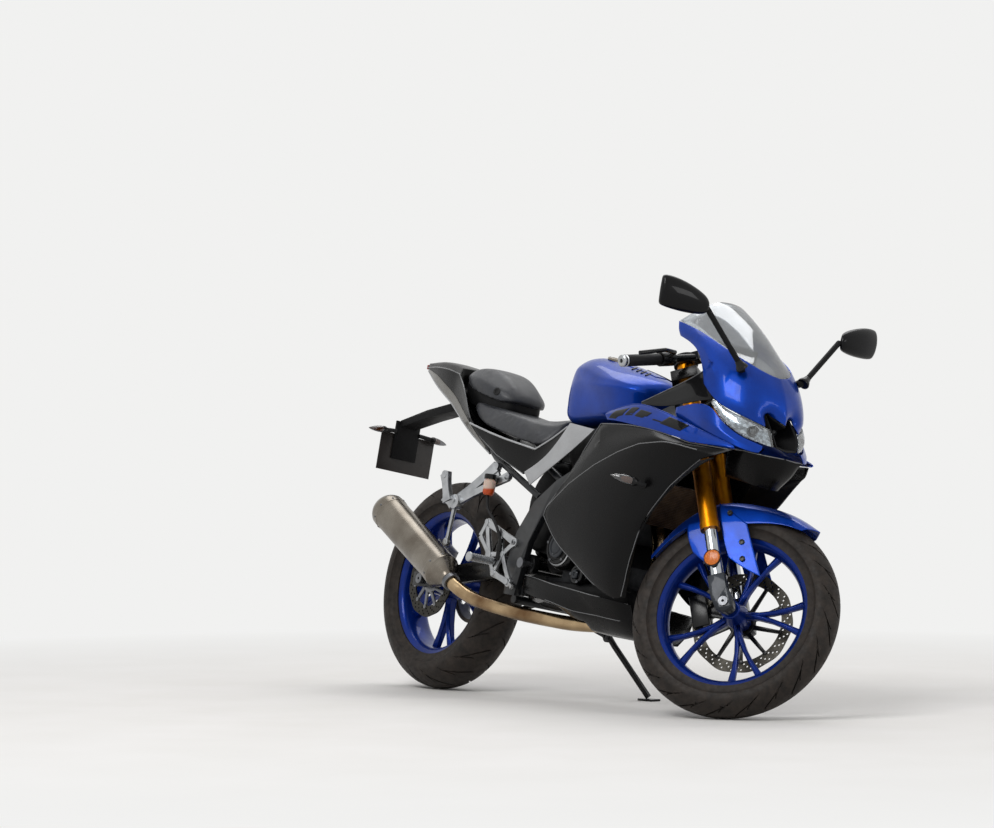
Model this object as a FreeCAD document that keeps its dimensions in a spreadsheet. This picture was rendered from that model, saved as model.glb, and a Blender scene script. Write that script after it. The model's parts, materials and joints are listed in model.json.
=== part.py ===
# Sport bike, parked on its side stand with the steering on its left stop.
# Drawing frame: x forward from the rear axle, y to the rider's left, z up from the road,
# with the bike upright and steered straight. Millimetres and degrees.
# Each piece is drawn there, and then takes the leaning pose of its group.
import FreeCAD, Part
import math
import os
import re
import Sketcher
from FreeCAD import Placement, Rotation, Vector

doc = FreeCAD.newDocument("SportBike")

SIZES = (
    # alias, value, meaning
    ("wheelbase", 1340, "rear axle to front axle"),
    ("rake", 26, "steering axis from the vertical, degrees"),
    ("fork_offset", 44, "front axle ahead of the steering axis"),
    ("lean", 11, "parked lean to the left, degrees"),
    ("steering_lock", 33, "steering stop each way, degrees"),
    ("front_tyre_radius", 296, "front tyre, axle to crown"),
    ("front_tyre_width", 100, "front tyre section"),
    ("front_crown", 54, "front tread arc"),
    ("rear_tyre_radius", 314, "rear tyre, axle to crown"),
    ("rear_tyre_width", 140, "rear tyre section"),
    ("rear_crown", 74, "rear tread arc"),
    ("tyre_wall", 9, "tyre thickness"),
    ("bead_radius", 216, "tyre seat on the rim"),
    ("flange_radius", 232.3, "rim lip"),
    ("well_radius", 198, "bottom of the rim's well"),
    ("rim_wall", 5, "rim thickness"),
    ("front_rim_half", 41, "half of the front rim's width over its lips"),
    ("rear_rim_half", 57, "half of the rear rim's width over its lips"),
    ("front_spoke_width", 11, "width of one front spoke arm"),
    ("rear_spoke_width", 16, "width of one rear spoke arm"),
    ("front_spoke_depth", 18, "thickness of the front spokes along the axle"),
    ("rear_spoke_depth", 24, "thickness of the rear spokes along the axle"),
    ("spoke_fork", 78, "radius at which a spoke splits in two"),
    ("front_axle_radius", 8.5, "front axle"),
    ("rear_axle_radius", 9, "rear axle"),
    ("axle_bore", 4, "hole through each axle"),
    ("running_fit", 0.05, "radial clearance of what turns"),
    ("gap", 0.3, "clearance between pieces that seat on each other"),
    ("front_disc_radius", 146, "front brake disc"),
    ("front_disc_y", 61, "front brake disc, middle plane"),
    ("rear_disc_radius", 110, "rear brake disc"),
    ("rear_disc_y", -84, "rear brake disc, middle plane"),
    ("disc_thickness", 4.5, "brake discs"),
    ("disc_band", 33, "width of the swept ring of a disc"),
    ("chain_pitch", 12.7, "roller to roller"),
    ("sprocket_teeth", 48, "rear sprocket"),
    ("drive_radius", 30, "pitch radius at the engine end of the chain"),
    ("chain_y", 82, "chain line"),
    ("drive_x", 598, "engine sprocket, ahead of the rear axle"),
    ("drive_z", 372, "engine sprocket, above the road"),
    ("roller_radius", 4.2, "chain rollers"),
    ("fork_half_spacing", 97, "fork tube centres from the middle"),
    ("axle_lead", 10, "front axle ahead of the fork tubes"),
    ("outer_tube_radius", 26, "gold upper fork tubes"),
    ("inner_tube_radius", 18.5, "chromed lower fork tubes"),
    ("outer_tube_start", 244, "lower end of the gold tubes, along the fork from the axle"),
    ("outer_tube_end", 738, "upper end of the gold tubes"),
    ("foot_half_width", 17, "half of a fork foot's width across the bike"),
    ("foot_top", 84, "top of a fork foot, along the fork"),
    ("lower_clamp", 540, "lower clamp, along the fork"),
    ("upper_clamp", 682, "upper clamp, along the fork"),
    ("clamp_height", 30, "height of each clamp"),
    ("head_radius", 30, "frame tube round the steering stem"),
    ("stem_radius", 14, "steering stem"),
    ("bar_clamp_rise", 10, "middle of the handlebar clamps above the end of the gold tubes"),
    ("bar_radius", 11, "handlebar tube"),
    ("grip_radius", 16.5, "rubber grip"),
    ("bar_half_span", 335, "bar end from the middle"),
    ("bar_sweep", 32, "bars sweep back, degrees"),
    ("bar_droop", 15, "bars slope down, degrees"),
    ("panel_wall", 3, "body panels"),
    ("mudguard_clearance", 16, "front mudguard above the tyre"),
    ("muffler_radius", 54, "muffler body"),
    ("muffler_length", 350, "muffler body"),
    ("pipe_radius", 19, "exhaust pipe"),
    ("frame_wall", 20, "thickness of the frame beams across the bike"),
    ("frame_half", 126, "frame's pivot plates from the middle"),
    ("swingarm_half", 104, "swingarm arms from the middle at the pivot"),
    ("swingarm_wall", 20, "thickness of the swingarm arms"),
    ("swingarm_flare", 6, "arms stand further out at the axle"),
    ("pivot_x", 523, "swingarm pivot, ahead of the rear axle"),
    ("pivot_z", 380, "swingarm pivot, above the road"),
    ("pivot_radius", 9, "swingarm pivot bolt"),
    ("stand_x", 640, "side stand pivot, ahead of the rear axle"),
    ("stand_y", 112, "side stand pivot from the middle"),
    ("stand_z", 212, "side stand pivot, above the road"),
    ("stand_fold", 95, "side stand swings back and up, degrees"),
    ("stand_foot_x", 742, "side stand foot, ahead of the rear axle"),
    ("stand_foot_reach", 232, "side stand foot from the middle, along the road"),
    ("plate_width", 200, "number plate"),
    ("plate_height", 118, "number plate"),
)
ALIASES = {alias for alias, value, meaning in SIZES}
sheet = doc.addObject("Spreadsheet::Sheet", "Sizes")
for row, (alias, value, meaning) in enumerate(SIZES, start=1):
    sheet.set(f"A{row}", meaning)
    sheet.set(f"B{row}", str(value))
    sheet.setAlias(f"B{row}", alias)
doc.recompute()


def size(words):
    """The value of a sum of named sizes."""
    return float(sheet.evalExpression(str(words)))


def bound(words):
    """The same sum, as another object's expression writes it."""
    return re.sub(r"[a-z_]+", lambda word: ("Sizes." if word[0] in ALIASES else "") + word[0], str(words))


# Where things are: the axles, the steering axis and the parked pose.
rake = math.radians(size("rake"))
FORK_UP = Vector(-math.sin(rake), 0, math.cos(rake))
FORK_FORWARD = Vector(math.cos(rake), 0, math.sin(rake))
REAR_AXLE = Vector(0, 0, size("rear_tyre_radius"))
FRONT_AXLE = Vector(size("wheelbase"), 0, size("front_tyre_radius"))
STEERING_BASE = FRONT_AXLE - FORK_FORWARD * size("fork_offset")
FORK_FRAME = Placement(FRONT_AXLE, Rotation(Vector(0, 1, 0), -size("rake")))
REAR_FRAME = Placement(REAR_AXLE, Rotation())
# The tables below give x from the rear axle (R), the front axle (F) or their frame's own origin (O).
DATUM = {"R": 0.0, "F": size("wheelbase"), "O": 0.0}


def turn_about(point, axis, degrees):
    """A turn about a line through a point."""
    turn = Placement(Vector(), Rotation(axis, degrees))
    return Placement(point, Rotation()).multiply(turn).multiply(Placement(point * -1, Rotation()))


STEERED = turn_about(STEERING_BASE, FORK_UP, size("steering_lock"))


def tyre_bottom(pose, centre, axle_line, tyre_radius, crown):
    """Height of the lowest point of a leaning tyre's tread arc."""
    middle = pose.multVec(centre)
    tilt = pose.Rotation.multVec(axle_line).z
    return middle.z - (tyre_radius - crown) * math.sqrt(1 - tilt * tilt) - crown


def parked_pose():
    """Lean to the left, then the small pitch and lift that set both tyres on the road."""
    pitch, lift = 0.0, 0.0
    steered_axle = STEERED.Rotation.multVec(Vector(0, 1, 0))
    for attempt in range(8):
        turn = Rotation(Vector(0, 1, 0), pitch).multiply(Rotation(Vector(1, 0, 0), -size("lean")))
        pose = Placement(Vector(0, 0, lift), turn)
        rear = tyre_bottom(pose, REAR_AXLE, Vector(0, 1, 0), size("rear_tyre_radius"), size("rear_crown"))
        front = tyre_bottom(pose, STEERED.multVec(FRONT_AXLE), steered_axle,
                            size("front_tyre_radius"), size("front_crown"))
        pitch += math.degrees((front - rear) / size("wheelbase"))
        lift -= rear
    return pose


STANDING = parked_pose()
FRAMES = {
    "chassis": Placement(),
    "rear": REAR_FRAME,
    "fork": FORK_FRAME,
}
PIECES = {}


def piece(name, item, frame="chassis", offset=Vector()):
    """Names a finished object and remembers the frame that it is drawn in."""
    item.Label = name
    PIECES[name] = (item, frame, offset)
    return item


def shaped(name, shape, frame="chassis"):
    """A piece whose shape is worked out here."""
    item = doc.addObject("Part::Feature", name)
    item.Shape = shape
    return piece(name, item, frame)


# Helpers for bodies made of sketches.
def origin_plane(body, role):
    return [item for item in body.Origin.OriginFeatures if item.Role == role][0]


def arc_between(start, end, radius, side):
    """Arc from start to end; side is 1 when its centre lies to the left."""
    chord = end - start
    middle = (start + end) * 0.5
    rise = math.sqrt(max(radius * radius - chord.Length ** 2 / 4, 0))
    centre = middle + Vector(-chord.y, chord.x, 0).normalize() * rise * side
    first, last = (start, end) if side > 0 else (end, start)
    angles = [math.atan2(point.y - centre.y, point.x - centre.x) for point in (first, last)]
    return Part.ArcOfCircle(Part.Circle(centre, Vector(0, 0, 1), radius), angles[0], angles[1])


def outline(body, name, role, corners):
    """Closed outline. A corner is (across, up), or (across, up, radius, side) at the end of an arc."""
    sketch = body.newObject("Sketcher::SketchObject", name)
    sketch.AttachmentSupport = [(origin_plane(body, role), "")]
    sketch.MapMode = "FlatFace"
    places = [Vector(size(corner[0]), size(corner[1]), 0) for corner in corners]
    ends = []
    for index, corner in enumerate(corners):
        if len(corner) == 4:
            arc = arc_between(places[index - 1], places[index], size(corner[2]), corner[3])
            sketch.addGeometry(arc)
            ends.append((1, 2) if corner[3] > 0 else (2, 1))
        else:
            sketch.addGeometry(Part.LineSegment(places[index - 1], places[index]))
            ends.append((1, 2))
    for index, corner in enumerate(corners):
        after = (index + 1) % len(corners)
        sketch.addConstraint(Sketcher.Constraint("Coincident", index, ends[index][1], after, ends[after][0]))
        if len(corner) == 4:
            rule = sketch.addConstraint(Sketcher.Constraint("Radius", index, size(corner[2])))
            sketch.setExpression(f"Constraints[{rule}]", bound(corner[2]))
        for kind, words, axis in (("DistanceX", corner[0], -2), ("DistanceY", corner[1], -1)):
            if words == 0:
                sketch.addConstraint(Sketcher.Constraint("PointOnObject", index, ends[index][1], axis))
                continue
            rule = sketch.addConstraint(Sketcher.Constraint(kind, -1, 1, index, ends[index][1], size(words)))
            sketch.setExpression(f"Constraints[{rule}]", bound(words))
    return sketch


def revolve(body, name, role, corners, cut=False):
    """Turns an outline about the sketch's upright axis."""
    sketch = outline(body, name + "_outline", role, corners)
    turned = body.newObject("PartDesign::Groove" if cut else "PartDesign::Revolution", name)
    turned.Profile = sketch
    turned.ReferenceAxis = (sketch, ["V_Axis"])
    turned.Angle = 360
    return turned


def pad(body, name, role, corners, depth, cut=False):
    """Pads or cuts an outline, half of the depth to each side of its plane."""
    sketch = outline(body, name + "_outline", role, corners)
    block = body.newObject("PartDesign::Pocket" if cut else "PartDesign::Pad", name)
    block.Profile = sketch
    block.SideType = "Symmetric"
    block.setExpression("Length", bound(depth))
    return block


def repeat(body, name, feature, count):
    """Copies a feature round the wheel's axle."""
    pattern = body.newObject("PartDesign::PolarPattern", name)
    pattern.Originals = [feature]
    pattern.Axis = (origin_plane(body, "Y_Axis"), [""])
    pattern.Angle = 360
    pattern.Occurrences = count
    body.Tip = pattern
    return pattern


def new_body(name):
    body = doc.addObject("PartDesign::Body", name)
    body.AllowCompound = True
    return body


# Helpers for panels, given as rows of points.
def sewn(points, triangles):
    """A closed solid from triangles that share their corners."""
    shell = Part.Shape()
    shell.makeShapeFromMesh((points, triangles), 0.001)
    solid = Part.Solid(shell)
    return solid if solid.Volume > 0 else Part.Solid(shell.reversed())


def grid_triangles(rows, columns, first=0):
    cells = []
    for row in range(rows - 1):
        for column in range(columns - 1):
            corner = first + row * columns + column
            cells.append((corner, corner + columns, corner + 1))
            cells.append((corner + 1, corner + columns, corner + columns + 1))
    return cells


def panel(grid, wall):
    """A panel of even thickness behind a grid of points, on the side away from the air."""
    rows, columns = len(grid), len(grid[0])
    outer = [point for row in grid for point in row]
    cells = grid_triangles(rows, columns)
    normals = [Vector() for point in outer]
    for cell in cells:
        a, b, c = [outer[index] for index in cell]
        lean_out = (b - a).cross(c - a)
        if lean_out.Length > 0:
            for index in cell:
                normals[index] = normals[index] + lean_out.normalize()
    inner = [point - normal.normalize() * wall for point, normal in zip(outer, normals)]
    total = len(outer)
    triangles = list(cells)
    triangles += [(c + total, b + total, a + total) for a, b, c in cells]
    rim = [column for column in range(columns)]
    rim += [row * columns + columns - 1 for row in range(1, rows)]
    rim += [(rows - 1) * columns + column for column in range(columns - 2, -1, -1)]
    rim += [row * columns for row in range(rows - 2, 0, -1)]
    for index, here in enumerate(rim):
        after = rim[(index + 1) % len(rim)]
        triangles += [(here, after, after + total), (here, after + total, here + total)]
    return sewn(outer + inner, triangles)


def lofted(sections):
    """A closed solid through closed sections with equally many points, capped at both ends."""
    count = len(sections[0])
    points = [point for section in sections for point in section]
    triangles = []
    for row in range(len(sections) - 1):
        for column in range(count):
            here = row * count + column
            beside = row * count + (column + 1) % count
            triangles += [(here, beside, here + count), (beside, beside + count, here + count)]
    for section, order in ((0, 1), (len(sections) - 1, -1)):
        middle = sum(sections[section], Vector()) * (1 / count)
        points.append(middle)
        for column in range(count):
            ends = [section * count + column, section * count + (column + 1) % count]
            triangles.append((len(points) - 1, ends[1], ends[0]) if order > 0 else
                             (len(points) - 1, ends[0], ends[1]))
    return sewn(points, triangles)


def at(entry, side=1):
    """A table's (datum, x, y, z) as a point; side -1 is the rider's right."""
    datum, x, y, z = entry
    return Vector(DATUM[datum] + x, side * y, z)


def whole(table):
    """Half sections, given from the middle outwards, made whole across the bike."""
    sections = []
    for section in table:
        right = [at(entry, -1) for entry in reversed(section) if entry[2] > 0]
        left = [at(entry) for entry in section]
        sections.append(right + left)
    return sections


def rings(table):
    """Half sections, from the middle of the top round to the middle of the bottom, closed."""
    sections = []
    for section in table:
        left = [at(entry) for entry in section]
        right = [at(entry, -1) for entry in reversed(section) if entry[2] > 0]
        sections.append(left + right)
    return sections


LONGEST_REACH = 400


def both_sides(make):
    """The right and left copies of a piece that comes in pairs."""
    return Part.makeCompound([make(-1), make(1)])


def side_panel(table, side, wall):
    """One side's panel; the rows run so that its face looks outwards."""
    grid = [[at(entry, side) for entry in row] for row in table]
    if side > 0:
        grid = [list(reversed(row)) for row in grid]
    return panel(grid, wall)


def nose_wrap(table, wall):
    """A panel round the nose: each row runs from one ear to the middle, and is mirrored."""
    grid = [[at(entry, -1) for entry in row] + [at(entry) for entry in reversed(row) if entry[2] > 0]
            for row in table]
    return panel(grid, wall)


def tube(points, radius, inner=0):
    """A round tube along straight runs, with balls of its own radius at the turns."""
    runs = [round_run(start, end, radius) for start, end in zip(points, points[1:])]
    joints = [Part.makeSphere(radius, point) for point in points[1:-1]]
    solid = runs[0].multiFuse(runs[1:] + joints) if len(runs) > 1 else runs[0]
    if inner:
        solid = solid.cut(tube(points, inner))
    return solid


def round_run(start, end, radius):
    return Part.makeCylinder(radius, (end - start).Length, start, end - start)


def crossings(solid, start, direction, radius=0):
    """How far from the start a line, or the outside of a round bar, enters and leaves a solid."""
    across_it = direction.cross(Vector(0.3, 0.5, 0.8)).normalize()
    offsets = [Vector()] + [Rotation(direction, turn).multVec(across_it * radius)
                            for turn in (range(0, 360, 45) if radius else ())]
    lines = [Part.makeLine(start + offset, start + offset + direction * LONGEST_REACH) for offset in offsets]
    return sorted((vertex.Point - start).dot(direction)
                  for vertex in solid.common(Part.makeCompound(lines)).Vertexes)


def reach(carrier, start, direction, radius, clearance="gap"):
    """A round bar from a point until it is one gap short of what it rests on."""
    direction = Vector(direction).normalize()
    length = crossings(carrier, start, direction, radius)[0] - size(clearance)
    return Part.makeCylinder(radius, length, start, direction)


def boss(panel_shape, carrier, start, direction, radius):
    """A bar from the middle of a panel's wall until it is one gap short of its carrier."""
    direction = Vector(direction).normalize()
    enters, leaves = crossings(panel_shape, start, direction)[:2]
    return reach(carrier, start + direction * (enters + leaves) / 2, direction, radius)


def bar(sections, thickness):
    """A beam: each section is (centre, direction of its height, height), thick along y."""
    rings_here = []
    for centre, up, height in sections:
        half_up = Vector(up).normalize() * (height / 2)
        half_out = Vector(0, thickness / 2, 0)
        rings_here.append([centre + half_up + half_out, centre + half_up - half_out,
                           centre - half_up - half_out, centre - half_up + half_out])
    return lofted(rings_here)


def plate(corners, y_low, y_high):
    """A flat plate with its outline given as (x, z), between two y planes."""
    face = Part.Face(Part.makePolygon([Vector(x, y_low, z) for x, z in corners + corners[:1]]))
    return face.extrude(Vector(0, y_high - y_low, 0))


# Wheels
def tyre(name, frame, radius, width, crown, rim_half):
    """Hollow tyre: tread arc, bulging walls, open at the beads."""
    body = new_body(name)
    shoulder = f"({radius} - {crown} + sqrt({crown}^2 - ({width} / 2)^2))"
    hollow = f"({radius} - {crown} + sqrt(({crown} - tyre_wall)^2 - ({width} / 2 - tyre_wall)^2))"
    bead = f"({rim_half} - rim_wall - gap)"
    lip = "(flange_radius + gap)"
    revolve(body, name + "_ring", "XY_Plane", (
        ("bead_radius", f"-{bead}"),
        (lip, f"-{bead}"),
        (shoulder, f"-{width} / 2"),
        (shoulder, f"{width} / 2", crown, 1),
        (lip, bead),
        ("bead_radius", bead),
        ("bead_radius", f"{bead} - tyre_wall"),
        (hollow, f"{width} / 2 - tyre_wall"),
        (hollow, f"tyre_wall - {width} / 2", f"{crown} - tyre_wall", -1),
        ("bead_radius", f"tyre_wall - {bead}"),
    ))
    return piece(name, body, frame)


def rim(name, frame, half, spoke_width, spoke_depth, hub_right, hub_left, hub_radius, bore):
    """Cast wheel: well, five spokes that each split in two, and the hub."""
    body = new_body(name)
    seat = "(bead_radius - gap)"
    revolve(body, name + "_ring", "XY_Plane", (
        ("flange_radius", f"-{half}"),
        ("flange_radius", f"rim_wall - {half}"),
        (seat, f"rim_wall - {half}"),
        (seat, f"4 * rim_wall - {half}"),
        ("well_radius", f"5 * rim_wall - {half}"),
        ("well_radius", f"{half} - 5 * rim_wall"),
        (seat, f"{half} - 4 * rim_wall"),
        (seat, f"{half} - rim_wall"),
        ("flange_radius", f"{half} - rim_wall"),
        ("flange_radius", half),
        ("bead_radius - 2 * rim_wall", half),
        ("well_radius - 2 * rim_wall", f"{half} - 5 * rim_wall"),
        ("well_radius - 2 * rim_wall", f"5 * rim_wall - {half}"),
        ("bead_radius - 2 * rim_wall", f"-{half}"),
    ))
    reach = "(well_radius - rim_wall)"
    split = "spoke_fork"
    wide = f"({spoke_width} / 2)"
    tip_in, tip_across = f"{reach} * cos(18)", f"{reach} * sin(18)"
    spoke = pad(body, name + "_spoke", "XZ_Plane", (
        (f"{hub_radius} * 0.6", f"-{wide} * 1.3"),
        (f"{split} * 0.9", f"-{wide} * 1.3"),
        (f"{tip_in} - {wide} * 0.4", f"-({tip_across}) - {wide}"),
        (f"{tip_in} + {wide} * 0.4", f"-({tip_across}) + {wide}"),
        (f"{split} * 1.12", 0),
        (f"{tip_in} + {wide} * 0.4", f"{tip_across} - {wide}"),
        (f"{tip_in} - {wide} * 0.4", f"{tip_across} + {wide}"),
        (f"{split} * 0.9", f"{wide} * 1.3"),
        (f"{hub_radius} * 0.6", f"{wide} * 1.3"),
    ), spoke_depth)
    repeat(body, name + "_spokes", spoke, 5)
    hub = revolve(body, name + "_hub", "XY_Plane", (
        (bore, hub_right),
        (f"{hub_radius} * 0.72", hub_right),
        (f"{hub_radius} * 0.72", f"-{spoke_depth} / 2 - 6"),
        (hub_radius, f"-{spoke_depth} / 2"),
        (hub_radius, f"{spoke_depth} / 2"),
        (f"{hub_radius} * 0.72", f"{spoke_depth} / 2 + 6"),
        (f"{hub_radius} * 0.72", hub_left),
        (bore, hub_left),
    ))
    body.Tip = hub
    return piece(name, body, frame)


def brake_disc(name, frame, radius, centre_y, hub_radius, arms):
    """Swept ring carried on arms, drawn about its own middle plane."""
    body = new_body(name)
    inner = f"({radius} - disc_band)"
    revolve(body, name + "_ring", "XY_Plane", (
        (inner, "-disc_thickness / 2"), (radius, "-disc_thickness / 2"),
        (radius, "disc_thickness / 2"), (inner, "disc_thickness / 2")))
    arm = pad(body, name + "_arm", "XZ_Plane", (
        (f"{hub_radius} + 1", -9), (f"{inner} + 3", 9), (f"{inner} + 3", 22), (f"{hub_radius} + 1", 13)),
        "disc_thickness")
    repeat(body, name + "_arms", arm, arms)
    hub = revolve(body, name + "_hub", "XY_Plane", (
        (hub_radius, "-disc_thickness / 2"), (f"{hub_radius} + 12", "-disc_thickness / 2"),
        (f"{hub_radius} + 12", "disc_thickness / 2"), (hub_radius, "disc_thickness / 2")))
    body.Tip = hub
    return piece(name, body, frame, Vector(0, size(centre_y), 0))


tyre("front_tyre", "fork", "front_tyre_radius", "front_tyre_width", "front_crown", "front_rim_half")
tyre("rear_tyre", "rear", "rear_tyre_radius", "rear_tyre_width", "rear_crown", "rear_rim_half")
FRONT_HUB_LEFT = "(front_disc_y - disc_thickness / 2)"
rim("front_rim", "fork", "front_rim_half", "front_spoke_width", "front_spoke_depth",
    "-52", FRONT_HUB_LEFT, "34", "front_axle_radius + running_fit")
REAR_HUB_RIGHT = "(rear_disc_y + disc_thickness / 2)"
SPROCKET_HALF = 3
REAR_HUB_LEFT = f"(chain_y - {SPROCKET_HALF})"
rim("rear_rim", "rear", "rear_rim_half", "rear_spoke_width", "rear_spoke_depth",
    REAR_HUB_RIGHT, REAR_HUB_LEFT, "42", "rear_axle_radius + running_fit")
brake_disc("front_disc", "fork", "front_disc_radius", "front_disc_y", "14", 5)
brake_disc("rear_disc", "rear", "rear_disc_radius", "rear_disc_y", "14", 5)


def round_bar(name, frame, steps):
    """A turned bar along the axle: steps are (radius, y), from the rider's right to the left."""
    body = new_body(name)
    revolve(body, name + "_turned", "XY_Plane", steps)
    return piece(name, body, frame)


FORK_INSIDE = "(fork_half_spacing - foot_half_width)"
FORK_OUTSIDE = "(fork_half_spacing + foot_half_width)"
round_bar("front_axle", "fork", (
    ("axle_bore", f"-{FORK_OUTSIDE} - 4"),
    ("front_axle_radius + 5", f"-{FORK_OUTSIDE} - 4"), ("front_axle_radius + 5", f"-{FORK_OUTSIDE} - gap"),
    ("front_axle_radius", f"-{FORK_OUTSIDE} - gap"), ("front_axle_radius", f"-{FORK_INSIDE} + gap"),
    ("front_axle_radius + 7", f"-{FORK_INSIDE} + gap"), ("front_axle_radius + 7", "-52 - gap"),
    ("front_axle_radius", "-52 - gap"), ("front_axle_radius", "front_disc_y + disc_thickness / 2 + gap"),
    ("front_axle_radius + 7", "front_disc_y + disc_thickness / 2 + gap"),
    ("front_axle_radius + 7", f"{FORK_INSIDE} - gap"), ("front_axle_radius", f"{FORK_INSIDE} - gap"),
    ("front_axle_radius", f"{FORK_OUTSIDE} + gap"), ("front_axle_radius + 5", f"{FORK_OUTSIDE} + gap"),
    ("front_axle_radius + 5", f"{FORK_OUTSIDE} + 4"), ("axle_bore", f"{FORK_OUTSIDE} + 4")))
ARM_AXLE_INSIDE = "(swingarm_half + swingarm_flare - swingarm_wall / 2)"
ARM_AXLE_OUTSIDE = "(swingarm_half + swingarm_flare + swingarm_wall / 2)"
round_bar("rear_axle", "rear", (
    ("axle_bore", f"-{ARM_AXLE_OUTSIDE} - 12"),
    ("rear_axle_radius + 6", f"-{ARM_AXLE_OUTSIDE} - 12"), ("rear_axle_radius + 6", f"-{ARM_AXLE_OUTSIDE} - gap"),
    ("rear_axle_radius", f"-{ARM_AXLE_OUTSIDE} - gap"), ("rear_axle_radius", f"-{ARM_AXLE_INSIDE} + gap"),
    ("rear_axle_radius + 3", f"-{ARM_AXLE_INSIDE} + gap"),
    ("rear_axle_radius + 3", "rear_disc_y - disc_thickness / 2 - gap"),
    ("rear_axle_radius", "rear_disc_y - disc_thickness / 2 - gap"),
    ("rear_axle_radius", f"chain_y + {SPROCKET_HALF} + gap"),
    ("rear_axle_radius + 3", f"chain_y + {SPROCKET_HALF} + gap"),
    ("rear_axle_radius + 3", f"{ARM_AXLE_INSIDE} - gap"),
    ("rear_axle_radius", f"{ARM_AXLE_INSIDE} - gap"), ("rear_axle_radius", f"{ARM_AXLE_OUTSIDE} + gap"),
    ("rear_axle_radius + 6", f"{ARM_AXLE_OUTSIDE} + gap"),
    ("rear_axle_radius + 6", f"{ARM_AXLE_OUTSIDE} + 12"), ("axle_bore", f"{ARM_AXLE_OUTSIDE} + 12")))

# Chain drive
teeth = int(size("sprocket_teeth"))
PITCH_RADIUS = size("chain_pitch") / (2 * math.sin(math.pi / teeth))
ROLLER = size("roller_radius")


def polar(centre, radius, degrees):
    """A point (x, z) round a centre."""
    angle = math.radians(degrees)
    return centre[0] + radius * math.cos(angle), centre[1] + radius * math.sin(angle)


def sprocket():
    """Toothed ring; each valley clears a roller."""
    pitch_angle = 360 / teeth
    rim_points = []
    for tooth in range(teeth):
        valley = tooth * pitch_angle
        # radius from the pitch circle, share of the pitch angle from the valley
        for rise, share in ((-ROLLER - 0.5, -0.18), (-ROLLER - 0.5, 0.18), (-2.0, 0.315),
                            (3.6, 0.43), (3.6, 0.57), (-2.0, 0.685)):
            rim_points.append(polar((0, 0), PITCH_RADIUS + rise, valley + share * pitch_angle))
    y = size("chain_y")
    disc = plate(rim_points, y - SPROCKET_HALF, y + SPROCKET_HALF)
    cuts = [Part.makeCylinder(14, 100, Vector(0, 50, 0), Vector(0, 1, 0))]
    for window in range(6):
        x, z = polar((0, 0), PITCH_RADIUS * 0.62, window * 60 + 30)
        cuts.append(Part.makeCylinder(17, 100, Vector(x, 50, z), Vector(0, 1, 0)))
    return disc.cut(cuts)


shaped("rear_sprocket", sprocket(), "rear")


def chain_rollers():
    """Roller centres (x, z): in the sprocket's valleys, then evenly along both runs."""
    rear = (0.0, size("rear_tyre_radius"))
    front = (size("drive_x"), size("drive_z"))
    front_radius = size("drive_radius")
    span = math.hypot(front[0] - rear[0], front[1] - rear[1])
    climb = math.degrees(math.atan2(front[1] - rear[1], front[0] - rear[0]))
    flare = math.degrees(math.acos((PITCH_RADIUS - front_radius) / span))
    step = 360 / teeth
    first = math.ceil((climb + flare) / step)
    last = math.floor((climb + 360 - flare) / step)
    rollers = [polar(rear, PITCH_RADIUS, valley * step) for valley in range(first, last + 1)]
    wrap = 12
    arc = [polar(front, front_radius, climb - flare + 2 * flare * part / wrap) for part in range(wrap + 1)]
    rest = [rollers[-1]] + arc + [rollers[0]]
    lengths = [math.dist(a, b) for a, b in zip(rest, rest[1:])]
    links = round(sum(lengths) / size("chain_pitch"))
    for link in range(1, links):
        along = sum(lengths) * link / links
        leg = 0
        while along > lengths[leg]:
            along -= lengths[leg]
            leg += 1
        part = along / lengths[leg]
        rollers.append(tuple(a + (b - a) * part for a, b in zip(rest[leg], rest[leg + 1])))
    return rollers


CHAIN_ROLLERS = chain_rollers()
LINK_PLATE = 1.6
LINK_INSIDE = 3.7
LINK_HALF_HEIGHT = 5.6


def chain():
    """One fixed loop: two side bands of link plates, with six-sided rollers between them."""
    y = size("chain_y")
    path = Part.Wire(Part.makePolygon([Vector(x, 0, z) for x, z in CHAIN_ROLLERS + CHAIN_ROLLERS[:1]]))
    outer = path.makeOffset2D(LINK_HALF_HEIGHT, 2)
    inner = path.makeOffset2D(-LINK_HALF_HEIGHT, 2)
    if Part.Face(outer).Area < Part.Face(inner).Area:
        outer, inner = inner, outer
    ring = Part.Face(outer).cut(Part.Face(inner))
    bands = []
    for low in (y - LINK_INSIDE - LINK_PLATE, y + LINK_INSIDE):
        band = ring.extrude(Vector(0, LINK_PLATE, 0))
        band.translate(Vector(0, low, 0))
        bands.append(band)
    rollers = []
    for x, z in CHAIN_ROLLERS:
        corners = [polar((x, z), ROLLER, 60 * corner + 30) for corner in range(6)]
        rollers.append(plate(corners, y - LINK_INSIDE, y + LINK_INSIDE))
    return bands[0].multiFuse(bands[1:] + rollers)


shaped("chain", chain())

# Fork and steering, drawn in the fork's frame: x ahead of the axle, z up along the fork.
TUBE_X = -size("axle_lead")
STEM_X = -size("fork_offset")
TUBE_Y = size("fork_half_spacing")


def fork_tube(side, radius, low, high):
    return Part.makeCylinder(radius, high - low, Vector(TUBE_X, side * TUBE_Y, low))


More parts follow.
